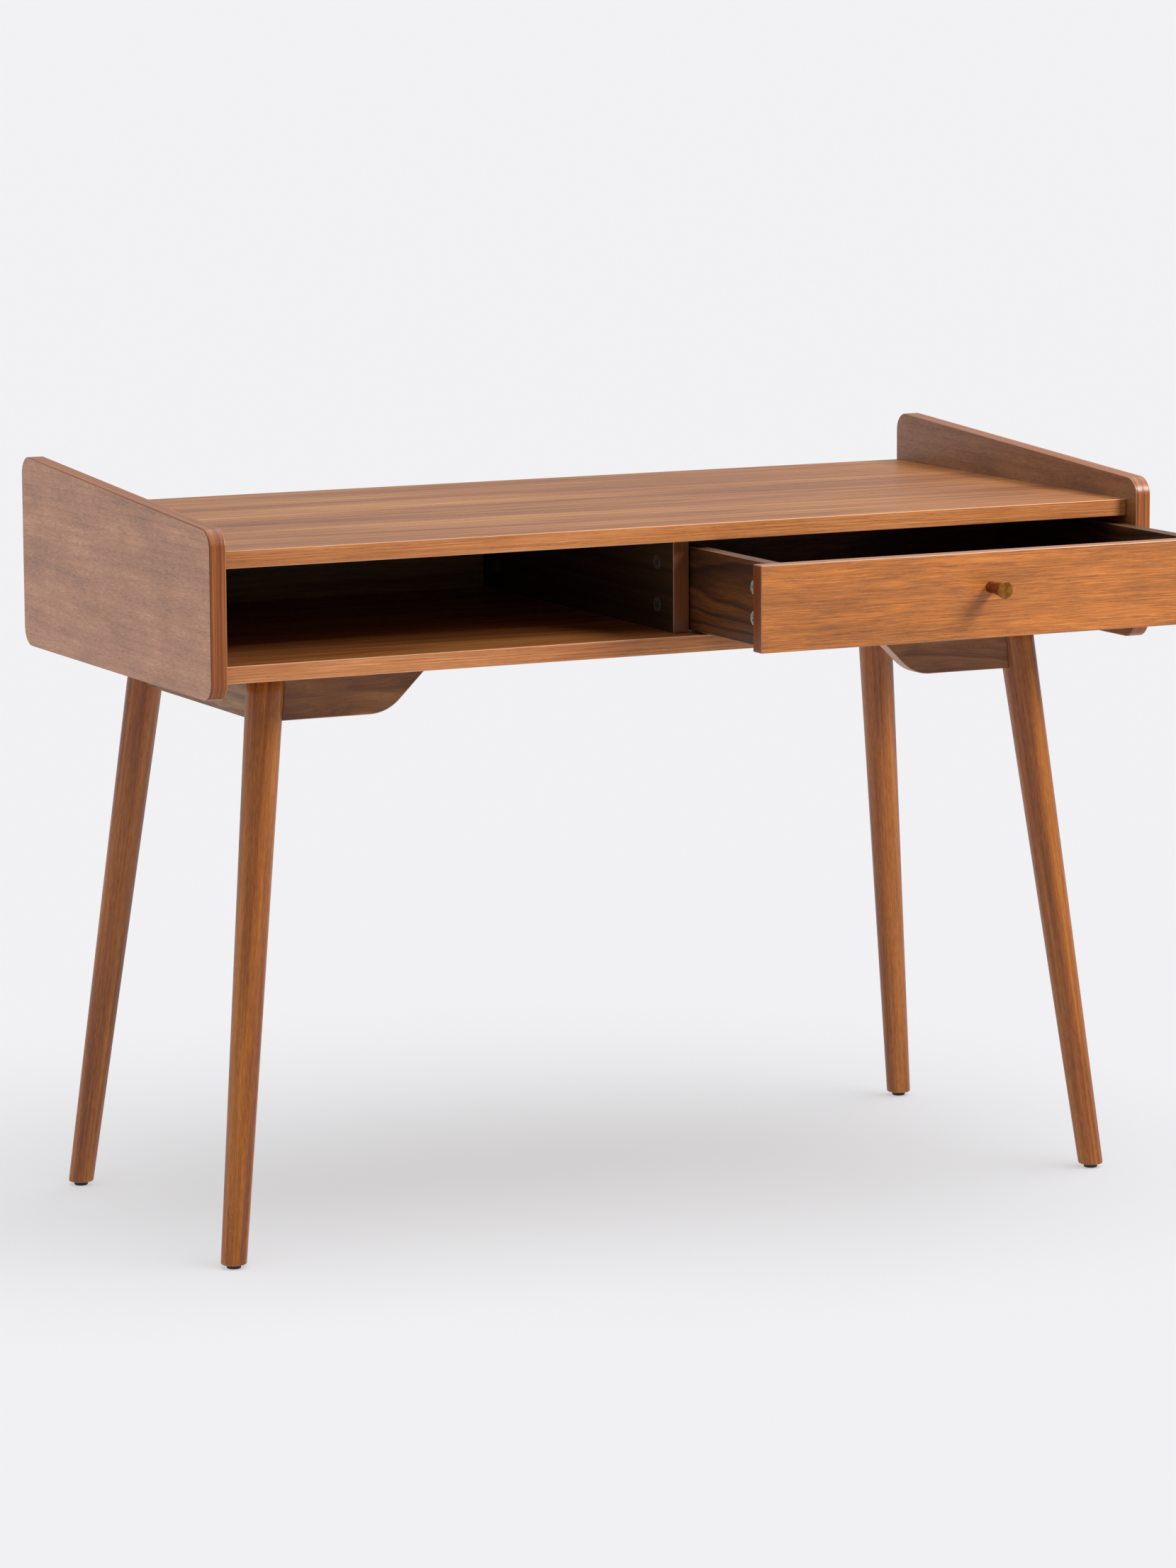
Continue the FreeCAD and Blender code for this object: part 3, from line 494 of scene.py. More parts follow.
def cutBores(piece, bores, material):
    # Takes rods out of a piece, each from its mouth inwards, with the given material on the new walls.
    proud, boreSides = 1 * mm, 64
    work = bmesh.new()
    for mouth, inward, radius, endRadius, depth in bores:
        turn = inward.to_track_quat("Z", "Y").to_matrix().to_4x4()
        middle = mouth + inward * ((depth - proud) / 2)
        bmesh.ops.create_cone(work, cap_ends=True, segments=boreSides, radius1=radius, radius2=endRadius,
                              depth=depth + proud, matrix=Matrix.Translation(middle) @ turn)
    for face in work.faces:
        face.smooth = len(face.verts) == 4
    mesh = bpy.data.meshes.new("boreRods")
    work.to_mesh(mesh)
    work.free()
    mesh.materials.append(material)
    rods = placed("boreRods", mesh)
    cut = piece.modifiers.new("bores", "BOOLEAN")
    cut.operation = "DIFFERENCE"
    cut.solver = "EXACT"
    cut.material_mode = "TRANSFER"
    cut.object = rods
    baked(piece)
    bpy.data.objects.remove(rods)


def newTree(name, sockets):
    # A Geometry Nodes tree with these inputs: the tree, the keys that set the inputs, the inputs themselves
    # and the parts of a point's place.
    tree = bpy.data.node_groups.new(name, "GeometryNodeTree")
    tree.interface.new_socket("Geometry", in_out="INPUT", socket_type="NodeSocketGeometry")
    tree.interface.new_socket("Geometry", in_out="OUTPUT", socket_type="NodeSocketGeometry")
    keys = {}
    for label, kind in sockets:
        socket = tree.interface.new_socket(label, in_out="INPUT", socket_type="NodeSocket" + kind)
        keys[label] = socket.identifier
    inputs = addNode(tree, "NodeGroupInput").outputs
    here = addNode(tree, "GeometryNodeInputPosition")
    return tree, keys, inputs, addNode(tree, "SeparateXYZ", links={0: here}).outputs


def endTree(tree, shape, finish):        # one real mesh with its material is handed out
    whole = addNode(tree, "GeometryNodeRealizeInstances", links={"Geometry": shape})
    finished = addNode(tree, "GeometryNodeSetMaterial", links={"Geometry": whole, "Material": finish})
    addNode(tree, "NodeGroupOutput", links={"Geometry": finished})


def grow(host, tree, keys, values):        # runs a tree on a piece and keeps what it makes
    maker = host.modifiers.new(tree.name, "NODES")
    maker.node_group = tree
    for label, value in values.items():
        maker[keys[label]] = value
    baked(host)


# Fittings: their sizes, and where each stands on the face that it enters, as (place, way out of the face)
rightWay, backWay, upWay = Vector((1, 0, 0)), Vector((0, 1, 0)), Vector((0, 0, 1))
cam = {"Head Radius": 7.5, "Head Height": 3.0, "Under Radius": 7.5, "Rim": 0.5, "Shank Radius": 7.2,
       "Shank Length": 9.5, "Recess Length": 10, "Recess Width": 2, "Recess Depth": 2}
screw = {"Head Radius": 3.5, "Head Height": 1.8, "Under Radius": 3.5, "Rim": 0.9, "Shank Radius": 1.75,
         "Recess Length": 4.2, "Recess Width": 0.9, "Recess Depth": 1.1}
camInset = {"boardEnd": 34 * mm, "boardDepth": 70 * mm, "divider": 38 * mm, "dividerEdge": 27 * mm,
            "drawerFront": 38 * mm, "drawerSpread": 16 * mm}
boltInset = {"rail": 66.74 * mm, "bracket": 74.85 * mm, "sunk": 4 * mm}
screwInset = {"backHalf": 7.5 * mm, "sideSpread": 20 * mm, "bottomEnd": 40 * mm, "guideSpread": 14 * mm,
              "guideDrop": 12 * mm, "knobRise": 53 * mm, "trackFloor": 1.2 * mm}
camBoards = ("top_board", "bottom_board", "divider", "drawer_left_side", "drawer_right_side")
camSpots = {node: [] for node in camBoards}
for board in ("top_board", "bottom_board"):
    low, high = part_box(board)
    for x in (low.x + camInset["boardEnd"], high.x - camInset["boardEnd"]):
        for y in (low.y + camInset["boardDepth"], high.y - camInset["boardDepth"]):
            camSpots[board].append((Vector((x, y, low.z)), -upWay))
low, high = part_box("divider")
for y in (low.y + camInset["divider"], high.y - camInset["divider"]):
    for z in (low.z + camInset["dividerEdge"], high.z - camInset["dividerEdge"]):
        camSpots["divider"].append((Vector((low.x, y, z)), -rightWay))
sideScrewSpots = {}
backLow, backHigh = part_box("drawer_back")
for side, sign in sides.items():
    node = f"drawer_{side}_side"
    low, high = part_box(node)
    face = low.x if sign < 0 else high.x
    sideScrewSpots[node] = []
    for step in (-1, 1):
        camHeight = (low.z + high.z) / 2 + step * camInset["drawerSpread"]
        camSpots[node].append((Vector((face, low.y + camInset["drawerFront"], camHeight)), rightWay * sign))
        screwHeight = (backLow.z + backHigh.z) / 2 + step * screwInset["sideSpread"]
        screwPlace = Vector((face, high.y - screwInset["backHalf"], screwHeight))
        sideScrewSpots[node].append((screwPlace, rightWay * sign))
boltSpots = {}
for side, sign in sides.items():
    low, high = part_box(f"{side}_side_rail")
    middle = (low.x + high.x) / 2
    head = low.z + boltInset["sunk"]
    boltSpots[f"{side}_side_rail"] = [(Vector((middle, y, head)), -upWay)
                                      for y in (low.y + boltInset["rail"], high.y - boltInset["rail"])]
    for end in ends:
        low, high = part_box(f"{end}_{side}_bracket")
        x = low.x + boltInset["bracket"] if sign < 0 else high.x - boltInset["bracket"]
        boltSpots[f"{end}_{side}_bracket"] = [(Vector((x, (low.y + high.y) / 2, head)), -upWay)]

# Legs: one Geometry Nodes tree turns a straight cylinder into a slanted taper with an eased foot
leg = {"topHeight": 610 * mm, "footHeight": 4.5 * mm, "topRadius": 20 * mm, "floorRadius": 13.5 * mm,
       "rim": 1.5 * mm, "topX": 444 * mm, "floorX": 514 * mm,
       "topY": {"front": -61.5 * mm, "rear": 254.5 * mm},
       "floorY": {"front": -120.5 * mm, "rear": 313.5 * mm},
       "sleeve": 0.3 * mm, "sleeveRise": 20 * mm, "sleeveLength": 100 * mm,
       "sides": 96, "rings": 56, "crowding": 2.2, "grainStep": (0.9, 0.013, -0.011)}
legTree, legKeys, given, spot = newTree("taperedLeg", (
    ("Foot Point", "Vector"), ("Top Point", "Vector"), ("Foot Radius", "Float"), ("Top Radius", "Float"),
    ("Rim Radius", "Float"), ("Length", "Float"), ("Grain Shift", "Vector"), ("Finish", "Material")))
rod = addNode(legTree, "GeometryNodeMeshCylinder", {"fill_type": "NGON"},
              {"Vertices": leg["sides"], "Side Segments": leg["rings"], "Radius": 1.0, "Depth": 1.0})
# rings crowd towards the foot, where the rim is
upShare = addNode(legTree, "Math", "ADD", {1: 0.5}, {0: spot["Z"]})
upPlace = addNode(legTree, "Math", "POWER", {1: leg["crowding"]}, {0: upShare})
axisPoint = addNode(legTree, "Mix", {"data_type": "VECTOR"},
                    links={0: upPlace, 4: given["Foot Point"], 5: given["Top Point"]})
taper = addNode(legTree, "Mix", {"data_type": "FLOAT"},
                links={0: upPlace, 2: given["Foot Radius"], 3: given["Top Radius"]})
rise = addNode(legTree, "Math", "MULTIPLY", links={0: upPlace, 1: given["Length"]})
# within the rim the radius draws in along a quarter circle
below = addNode(legTree, "Math", "SUBTRACT", links={0: given["Rim Radius"], 1: rise})
within = addNode(legTree, "Math", "MAXIMUM", {1: 0.0}, {0: below})
square, rimSquare = [addNode(legTree, "Math", "MULTIPLY", links={0: root, 1: root})
                     for root in (within, given["Rim Radius"])]
arcSquare = addNode(legTree, "Math", "SUBTRACT", links={0: rimSquare, 1: square})
arc = addNode(legTree, "Math", "SQRT", links={0: arcSquare})
rimInset = addNode(legTree, "Math", "SUBTRACT", links={0: given["Rim Radius"], 1: arc})
legRadius = addNode(legTree, "Math", "SUBTRACT", links={0: taper, 1: rimInset})
unitDisc = addNode(legTree, "CombineXYZ", links={"X": spot["X"], "Y": spot["Y"]})
disc = addNode(legTree, "VectorMath", "SCALE", links={0: unitDisc, "Scale": legRadius})
moved = addNode(legTree, "VectorMath", "ADD", links={0: axisPoint.outputs[1], 1: disc})
# the fibres run up the leg
discParts = addNode(legTree, "SeparateXYZ", links={0: disc}).outputs
fibrePlace = addNode(legTree, "CombineXYZ", links={"X": rise, "Y": discParts["X"], "Z": discParts["Y"]})
fibreShifted = addNode(legTree, "VectorMath", "ADD", links={0: fibrePlace, 1: given["Grain Shift"]})
grained = addNode(legTree, "GeometryNodeStoreNamedAttribute",
                  {"data_type": "FLOAT_VECTOR", "domain": "POINT"}, {"Name": "grain"},
                  {"Geometry": rod, "Value": fibreShifted})
shaped = addNode(legTree, "GeometryNodeSetPosition", links={"Geometry": grained, "Position": moved})
smooth = addNode(legTree, "GeometryNodeSetShadeSmooth",
                 links={"Geometry": shaped, "Shade Smooth": rod.outputs["Side"]})
endTree(legTree, smooth, given["Finish"])

drop = (leg["topHeight"] - leg["footHeight"]) / leg["topHeight"]
sleeves = {}        # a rod just wider than each leg, which copes the ends of its rail and bracket
for k, (end, side) in enumerate((end, side) for end in ends for side in sides):
    topPoint = Vector((sides[side] * leg["topX"], leg["topY"][end], leg["topHeight"]))
    floorPoint = Vector((sides[side] * leg["floorX"], leg["floorY"][end], 0.0))
    host = placed(f"{end}{side.capitalize()}Leg", bpy.data.meshes.new("legBase"))
    grow(host, legTree, legKeys, {
        "Foot Point": topPoint.lerp(floorPoint, drop), "Top Point": topPoint, "Top Radius": leg["topRadius"],
        "Foot Radius": leg["topRadius"] + (leg["floorRadius"] - leg["topRadius"]) * drop,
        "Rim Radius": leg["rim"], "Length": leg["topHeight"] - leg["footHeight"],
        "Grain Shift": Vector([step * k for step in leg["grainStep"]]), "Finish": finishes["leg"]})
    settle(host, "desk", "walnut_stained_wood", f"{end}_{side}_leg")
    run = floorPoint - topPoint
    narrowing = (leg["topRadius"] - leg["floorRadius"]) / run.length
    startRadius = leg["topRadius"] + leg["sleeve"] + narrowing * leg["sleeveRise"]
    sleeves[end, side] = (topPoint - run.normalized() * leg["sleeveRise"], run.normalized(), startRadius,
                          startRadius - narrowing * leg["sleeveLength"], leg["sleeveLength"])
print("legs made")

# Side panels: their top edge climbs to the back, and a dark glue line shows at the outer arris
sidePanel = {"frontTop": 768 * mm, "backTop": 801 * mm, "corner": 20 * mm, "cornerSteps": 14, "arris": 1.0,
             # painted highlight on the up-facing band; inner arris pale with wear and painted highlight,
             # glue line outside
             "topRub": 0.22, "rub": {"left": (-0.5, 0.7), "right": (0.7, -0.5)},
             "grainStart": (0.31, 0.05), "grainStep": (0.9, 0.6),
             "looks": {"left": ("panel", "panelEdge", "panelInner"),
                       "right": ("panelInner", "panelEdge", "panel")}}
for k, side in enumerate(sides):
    low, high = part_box(f"{side}_side_panel")
    corners = ((high.y, low.z), (high.y, sidePanel["backTop"]), (low.y, sidePanel["frontTop"]),
               (low.y, low.z))        # the banding's joint is at the back
    outline = roundedOutline(corners, [sidePanel["corner"]] * len(corners), sidePanel["cornerSteps"])
    shift = [start + step * k for start, step in zip(sidePanel["grainStart"], sidePanel["grainStep"])]
    panel = boardPiece(f"{side}Panel", outline, 0, low.x, high.x - low.x,
                       dict(sidePanel, rub=sidePanel["rub"][side], looks=sidePanel["looks"][side]), shift)
    settle(panel, "desk", "walnut_veneer", f"{side}_side_panel")
print("side panels made")

# Plain rectangles: thickness axis, arris in mm, finishes of the faces and of the edges, and slot.
# The rails' ends reach into the legs and are coped there.
sideRail = {"axis": 0, "arris": 0.9, "looks": ("rail", "rail"), "slot": "walnut_stained_wood", "reach": 12}
# drawer sides: painted highlight on the up-facing band, and pale arrises of wear and painted highlight
drawerSide = {"axis": 0, "arris": 0.8, "looks": ("foil", "foil"), "slot": "drawer_wood", "topRub": 0.2,
              "rub": (0.7, 0.7)}
plainBoards = {
    "top_board": {"axis": 2, "arris": 0.9, "looks": ("top", "boardEdge"), "slot": "walnut_veneer",
                  "bandStart": 3710},
    "bottom_board": {"axis": 2, "arris": 0.9, "looks": ("top", "boardEdge"), "slot": "walnut_veneer",
                     "bandStart": 7570},
    "divider": {"axis": 0, "arris": 0.8, "looks": ("dividerFace", "dividerEdge"), "slot": "walnut_veneer",
                "name": "nicheDivider"},
    "back_panel": {"axis": 1, "arris": 0.3, "looks": ("niche", "panelInner", "panelInner"),
                   "slot": "drawer_wood"},
    "left_side_rail": sideRail,
    "right_side_rail": sideRail,
    "drawer_front": {"axis": 1, "arris": 0.9, "looks": ("front", "shadedEndEdge"), "slot": "walnut_veneer",
                     # painted highlight on the top edge; pale arrises of wear and painted highlight
                     "topRub": 0.45, "rub": (0.8, 0.6)},
    "drawer_left_side": drawerSide,
    "drawer_right_side": drawerSide,
    "drawer_back": {"axis": 1, "arris": 0.3, "looks": ("foil", "foil"), "slot": "drawer_wood"},
    "drawer_bottom": {"axis": 2, "arris": 0.3, "looks": ("foil", "foil"), "slot": "drawer_wood"},
}
bodyOf = {node: body for body, members in frame["record"]["behaviour"]["bodies"].items() for node in members}
plainCorner = {"share": 1.2, "steps": 4}        # the outline's corners against the arris
plainGrainStep = (0.77, 0.43)        # each board is cut from another place
boreRoom = {"cam": 0.1 * mm, "bolt": 0.25 * mm, "camDepth": 12.6 * mm, "boltDepth": 6 * mm,
            "boltRadius": 5 * mm, "screw": 0.05 * mm, "screwRadius": 4 * mm, "screwDepth": 2.4 * mm}
camBore = cam["Head Radius"] * mm + boreRoom["cam"]
boltBore = boreRoom["boltRadius"] + boreRoom["bolt"]


def boresOf(node):        # mouth, way in, radius at the mouth, radius at the end, depth
    bores = [(place, -out, camBore, camBore, boreRoom["camDepth"]) for place, out in camSpots.get(node, [])]
    for place, out in boltSpots.get(node, []):
        mouth = place + out * boltInset["sunk"]
        bores.append((mouth, -out, boltBore, boltBore, boltInset["sunk"] + boreRoom["boltDepth"]))
    sinkRadius = boreRoom["screwRadius"] + boreRoom["screw"]
    for place, out in sideScrewSpots.get(node, []):
        bores.append((place, -out, sinkRadius, sinkRadius, boreRoom["screwDepth"]))
    return bores


for k, (node, board) in enumerate(plainBoards.items()):
    low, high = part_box(node)
    axis = board["axis"]
    a, b = [j for j in range(3) if j != axis]
    start, stop = low[a] - board.get("reach", 0) * mm, high[a] + board.get("reach", 0) * mm
    corners = ((start, low[b]), (stop, low[b]), (stop, high[b]), (start, high[b]))
    corner = board["arris"] * plainCorner["share"] * mm
    outline = roundedOutline(corners, [corner] * len(corners), plainCorner["steps"])
    words = node.split("_")
    name = board.get("name", words[0] + "".join(word.capitalize() for word in words[1:]))
    piece = boardPiece(name, outline, axis, low[axis], high[axis] - low[axis], board,
                       [step * k for step in plainGrainStep])
    if node.endswith("rail"):
        side = words[0]
        cutBores(piece, [sleeves[end, side] for end in ends], finishes["rail"])
    if boresOf(node):
        solidWood = board["slot"] == "walnut_stained_wood"
        cutBores(piece, boresOf(node), finishes["rail"] if solidWood else chipboard)
    settle(piece, bodyOf[node], board["slot"], node)
print("plain boards made:", len(plainBoards))

# Corner brackets: a slanted end with a broad round below it
bracket = {"slant": 54 * mm, "corner": 48 * mm, "tip": 1.2 * mm, "root": 1.2 * mm, "arris": 0.9,
           "reach": 12 * mm, "looks": ("frame", "frameEdge"), "cornerSteps": 12, "grainStep": (0.5, 0.29)}
for k, (end, side) in enumerate((end, side) for end in ends for side in sides):
    node = f"{end}_{side}_bracket"
    low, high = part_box(node)
    tip, root, inward = (high.x, low.x, -1) if side == "left" else (low.x, high.x, 1)
    root += inward * bracket["reach"]
    corners = [(root, low.z), (tip + inward * bracket["slant"], low.z), (tip, high.z), (root, high.z)]
    radii = [bracket["root"], bracket["corner"], bracket["tip"], bracket["root"]]
    if side == "right":
        corners.reverse()
        radii.reverse()
    outline = roundedOutline(corners, radii, bracket["cornerSteps"])
    piece = boardPiece(f"{end}{side.capitalize()}Bracket", outline, 1, low.y, high.y - low.y, bracket,
                       [step * k for step in bracket["grainStep"]])
    cutBores(piece, [sleeves[end, side]], finishes["frame"])
    cutBores(piece, boresOf(node), finishes["frame"])
    settle(piece, "desk", "walnut_stained_wood", node)
print("brackets made")

# Fasteners: one Geometry Nodes tree turns a lathe profile, sinks a cross or six-sided recess into the head,
# and sets a copy on each point along its "aim", turned at random as a screwdriver leaves it
fastener = {"sides": 48, "tipShare": 0.5, "crispAngle": 32}
shankRings, crownRings = 4, 4        # rings of the profile below the crown and round it
fastenerTree, fastenerKeys, given, spot = newTree("recessedFastener", [(label, "Float") for label in cam] + [
    ("Six Sided", "Bool"), ("Turn Seed", "Int"), ("Finish", "Material")])
blank = addNode(fastenerTree, "GeometryNodeMeshCylinder", {"fill_type": "NGON"},
                {"Vertices": fastener["sides"], "Side Segments": shankRings + crownRings, "Radius": 1.0,
                 "Depth": 1.0})
ringPlace = addNode(fastenerTree, "Math", "MULTIPLY_ADD",
                    {1: shankRings + crownRings, 2: (shankRings + crownRings) / 2}, {0: spot["Z"]})
ring = addNode(fastenerTree, "Math", "ROUND", links={0: ringPlace})
crownTurn = addNode(fastenerTree, "MapRange", {"clamp": True},
                    {"From Min": shankRings, "From Max": shankRings + crownRings, "To Max": math.pi / 2},
                    {"Value": ring})
crownIn, crownUp = [addNode(fastenerTree, "Math", wave, links={0: crownTurn})
                    for wave in ("COSINE", "SINE")]
rimIn, rimDown = [addNode(fastenerTree, "Math", "SUBTRACT", {0: 1.0}, {1: part})
                  for part in (crownIn, crownUp)]
crownInset = addNode(fastenerTree, "Math", "MULTIPLY", links={0: rimIn, 1: given["Rim"]})
crownRadius = addNode(fastenerTree, "Math", "SUBTRACT", links={0: given["Head Radius"], 1: crownInset})
crownDrop = addNode(fastenerTree, "Math", "MULTIPLY", links={0: rimDown, 1: given["Rim"]})
shankEnd = addNode(fastenerTree, "Math", "ADD", links={0: given["Head Height"], 1: given["Shank Length"]})
taperStart = addNode(fastenerTree, "Math", "SUBTRACT", links={0: shankEnd, 1: given["Shank Radius"]})
tipRadius = addNode(fastenerTree, "Math", "MULTIPLY", {1: fastener["tipShare"]}, {0: given["Shank Radius"]})
profileRadius, profileDrop = [addNode(fastenerTree, "GeometryNodeIndexSwitch", {"data_type": "FLOAT"})
                              for _ in range(2)]
radii = (tipRadius.outputs[0], given["Shank Radius"], given["Shank Radius"], given["Under Radius"],
         crownRadius.outputs[0])
drops = (shankEnd.outputs[0], taperStart.outputs[0], given["Head Height"], given["Head Height"],
         crownDrop.outputs[0])
profileRing = addNode(fastenerTree, "Math", "MINIMUM", {1: shankRings}, {0: ring})
for switch, sources in ((profileRadius, radii), (profileDrop, drops)):
    while len(switch.index_switch_items) < len(sources):
        switch.index_switch_items.new()
    fastenerTree.links.new(profileRing.outputs[0], switch.inputs["Index"])
    for k, source in enumerate(sources):
        fastenerTree.links.new(source, switch.inputs[k + 1])
unitDisc = addNode(fastenerTree, "CombineXYZ", links={"X": spot["X"], "Y": spot["Y"]})
disc = addNode(fastenerTree, "VectorMath", "SCALE", links={0: unitDisc, "Scale": profileRadius})
fall = addNode(fastenerTree, "CombineXYZ", links={"Z": profileDrop})
turned = addNode(fastenerTree, "VectorMath", "SUBTRACT", links={0: disc, 1: fall})
shaped = addNode(fastenerTree, "GeometryNodeSetPosition", links={"Geometry": blank, "Position": turned})
recessHeight = addNode(fastenerTree, "Math", "MULTIPLY", {1: 2.0}, {0: given["Recess Depth"]})
bars = []
for long, short in (("X", "Y"), ("Y", "X")):
    barSize = addNode(fastenerTree, "CombineXYZ",
                      links={long: given["Recess Length"], short: given["Recess Width"], "Z": recessHeight})
    bars.append(addNode(fastenerTree, "GeometryNodeMeshCube", links={"Size": barSize}))
cross = addNode(fastenerTree, "GeometryNodeMeshBoolean", {"operation": "UNION", "solver": "EXACT"})
for bar in bars:
    fastenerTree.links.new(bar.outputs["Mesh"], cross.inputs["Mesh 2"])
keyRadius = addNode(fastenerTree, "Math", "MULTIPLY", {1: 0.5}, {0: given["Recess Length"]})
sixSided = addNode(fastenerTree, "GeometryNodeMeshCylinder", {"fill_type": "NGON"}, {"Vertices": 6},
                   {"Radius": keyRadius, "Depth": recessHeight})
driver = addNode(fastenerTree, "GeometryNodeSwitch", {"input_type": "GEOMETRY"},
                 links={"Switch": given["Six Sided"], "False": cross, "True": sixSided})
recessed = addNode(fastenerTree, "GeometryNodeMeshBoolean", {"operation": "DIFFERENCE", "solver": "EXACT"},
                   links={"Mesh 1": shaped, "Mesh 2": driver})
allSmooth = addNode(fastenerTree, "GeometryNodeSetShadeSmooth", {"domain": "FACE"}, {"Shade Smooth": True},
                    {"Geometry": recessed})
edgeAngle = addNode(fastenerTree, "GeometryNodeInputMeshEdgeAngle")
crisp = addNode(fastenerTree, "FunctionNodeCompare", {"data_type": "FLOAT", "operation": "GREATER_THAN"},
                {1: math.radians(fastener["crispAngle"])}, {0: edgeAngle.outputs["Unsigned Angle"]})
edged = addNode(fastenerTree, "GeometryNodeSetShadeSmooth", {"domain": "EDGE"}, {"Shade Smooth": False},
                {"Geometry": allSmooth, "Selection": crisp})
aim = addNode(fastenerTree, "GeometryNodeInputNamedAttribute", {"data_type": "FLOAT_VECTOR"},
              {"Name": "aim"})
aimed = addNode(fastenerTree, "FunctionNodeAlignRotationToVector", {"axis": "Z"},
                links={"Vector": aim.outputs["Attribute"]})
anyTurn = addNode(fastenerTree, "FunctionNodeRandomValue", {"data_type": "FLOAT"}, {3: math.pi},
                  {"Seed": given["Turn Seed"]})
turn = addNode(fastenerTree, "FunctionNodeAxisAngleToRotation", {}, {"Axis": (0, 0, 1)},
               {"Angle": anyTurn.outputs[1]})
twisted = addNode(fastenerTree, "FunctionNodeRotateRotation", {"rotation_space": "LOCAL"},
                  links={"Rotation": aimed, "Rotate By": turn})
copies = addNode(fastenerTree, "GeometryNodeInstanceOnPoints",
                 links={"Points": given["Geometry"], "Instance": edged, "Rotation": twisted})
endTree(fastenerTree, copies, given["Finish"])

# Where the screws of the drawer's back, bottom, guide, knob and track stand, with heads proud of their seats
pan = screw["Head Height"] * mm
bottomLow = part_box("drawer_bottom")[0]
bottomSpots = [(Vector((x, backHigh.y - screwInset["backHalf"], bottomLow.z - pan)), -upWay)
               for x in (backLow.x + screwInset["bottomEnd"], backHigh.x - screwInset["bottomEnd"])]
low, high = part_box("drawer_guide")
guideSpots = [(Vector(((low.x + high.x) / 2 + step * screwInset["guideSpread"], high.y + pan,
                       high.z - screwInset["guideDrop"])), backWay) for step in (-1, 1)]
knobScrew = dict(screw, **{"Head Radius": 4.0, "Head Height": 2.4, "Under Radius": 4.0, "Rim": 1.1,
                           "Shank Radius": 2.0, "Shank Length": 28.0})
low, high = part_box("drawer_front")
knobSpots = [(Vector(((low.x + high.x) / 2, high.y + knobScrew["Head Height"] * mm,
                      low.z + screwInset["knobRise"])), backWay)]
low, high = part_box("drawer_track")
trackShares = (0.1, 0.5, 0.9)
trackSpots = [(Vector(((low.x + high.x) / 2, low.y + share * (high.y - low.y),
                       low.z + screwInset["trackFloor"] + pan)), upWay) for share in trackShares]
backScrew = dict(screw, **{"Head Radius": 4.0, "Head Height": 2.2, "Under Radius": 2.05, "Rim": 0.2,
                           "Shank Radius": 2.0, "Shank Length": 47.8})
frameBolt = dict(screw, **{"Head Radius": 5.0, "Head Height": 6.0, "Under Radius": 5.0, "Rim": 0.6,
                           "Shank Radius": 3.0, "Shank Length": 55.0, "Recess Length": 5.77,
                           "Recess Depth": 3.0})
boardCamSpots = camSpots["top_board"] + camSpots["bottom_board"]
drawerCamSpots = camSpots["drawer_left_side"] + camSpots["drawer_right_side"]
allBoltSpots = [spot for spots in boltSpots.values() for spot in spots]
backScrewSpots = [spot for spots in sideScrewSpots.values() for spot in spots]
fasteners = {
    "boardCams": (cam, boardCamSpots, zinc, "desk", "zinc_fitting", "board_cams"),
    "dividerCams": (cam, camSpots["divider"], shadedZinc, "desk", "zinc_fitting", "divider_cams"),
    "drawerCams": (cam, drawerCamSpots, zinc, "drawer", "zinc_fitting", "drawer_cams"),
    "frameBolts": (frameBolt, allBoltSpots, steel, "desk", "plated_steel", "frame_bolts"),
    "trackScrews": (dict(screw, **{"Shank Length": 13.2}), trackSpots, steel, "desk", "plated_steel",
                    "drawer_track_screws"),
    "drawerBackScrews": (backScrew, backScrewSpots, steel, "drawer", "plated_steel", "drawer_back_screws"),
    "drawerBottomScrews": (dict(screw, **{"Shank Length": 22.0}), bottomSpots, steel, "drawer",
                           "plated_steel", "drawer_bottom_screws"),
    "guideScrews": (dict(screw, **{"Shank Length": 19.0}), guideSpots, steel, "drawer", "plated_steel",
                    "drawer_guide_screws"),
    "knobScrew": (knobScrew, knobSpots, steel, "drawer", "plated_steel", "knob_screw"),
}
for k, (name, (sizes, spots, material, body, slot, *replaced)) in enumerate(fasteners.items()):
    mesh = bpy.data.meshes.new(name + "Points")
    mesh.from_pydata([place for place, out in spots], [], [])
    aims = mesh.attributes.new("aim", "FLOAT_VECTOR", "POINT")
    for value, (place, out) in zip(aims.data, spots):
        value.vector = out
    host = placed(name, mesh)
    values = {label: size * mm for label, size in sizes.items()}
    values.update({"Six Sided": name == "frameBolts", "Turn Seed": k, "Finish": material})
    grow(host, fastenerTree, fastenerKeys, values)
    settle(host, body, slot, *replaced)
    print(name, "made:", len(spots), "of them,", len(host.data.polygons), "faces")

# Stage: a plain pale floor that glows a little, so that the shadow under the desk stays light
stage = {"size": 400.0, "colour": "#959597", "glowColour": "#F1F1F3", "glow": 0.567, "roughness": 0.95,
         "specular": 0.1}
half = stage["size"] / 2
floorMesh = bpy.data.meshes.new("floor")
floorCorners = [(-half, -half, 0), (half, -half, 0), (half, half, 0), (-half, half, 0)]
floorMesh.from_pydata(floorCorners, [], [(0, 1, 2, 3)])
floor = placed("floor", floorMesh)
floorMaterial, tree, shader = newMaterial("matPaperFloor")
shader.inputs["Base Color"].default_value = linear(stage["colour"])
shader.inputs["Roughness"].default_value = stage["roughness"]
shader.inputs["Specular IOR Level"].default_value = stage["specular"]
shader.inputs["Emission Color"].default_value = linear(stage["glowColour"])
shader.inputs["Emission Strength"].default_value = stage["glow"]
floorMesh.materials.append(floorMaterial)

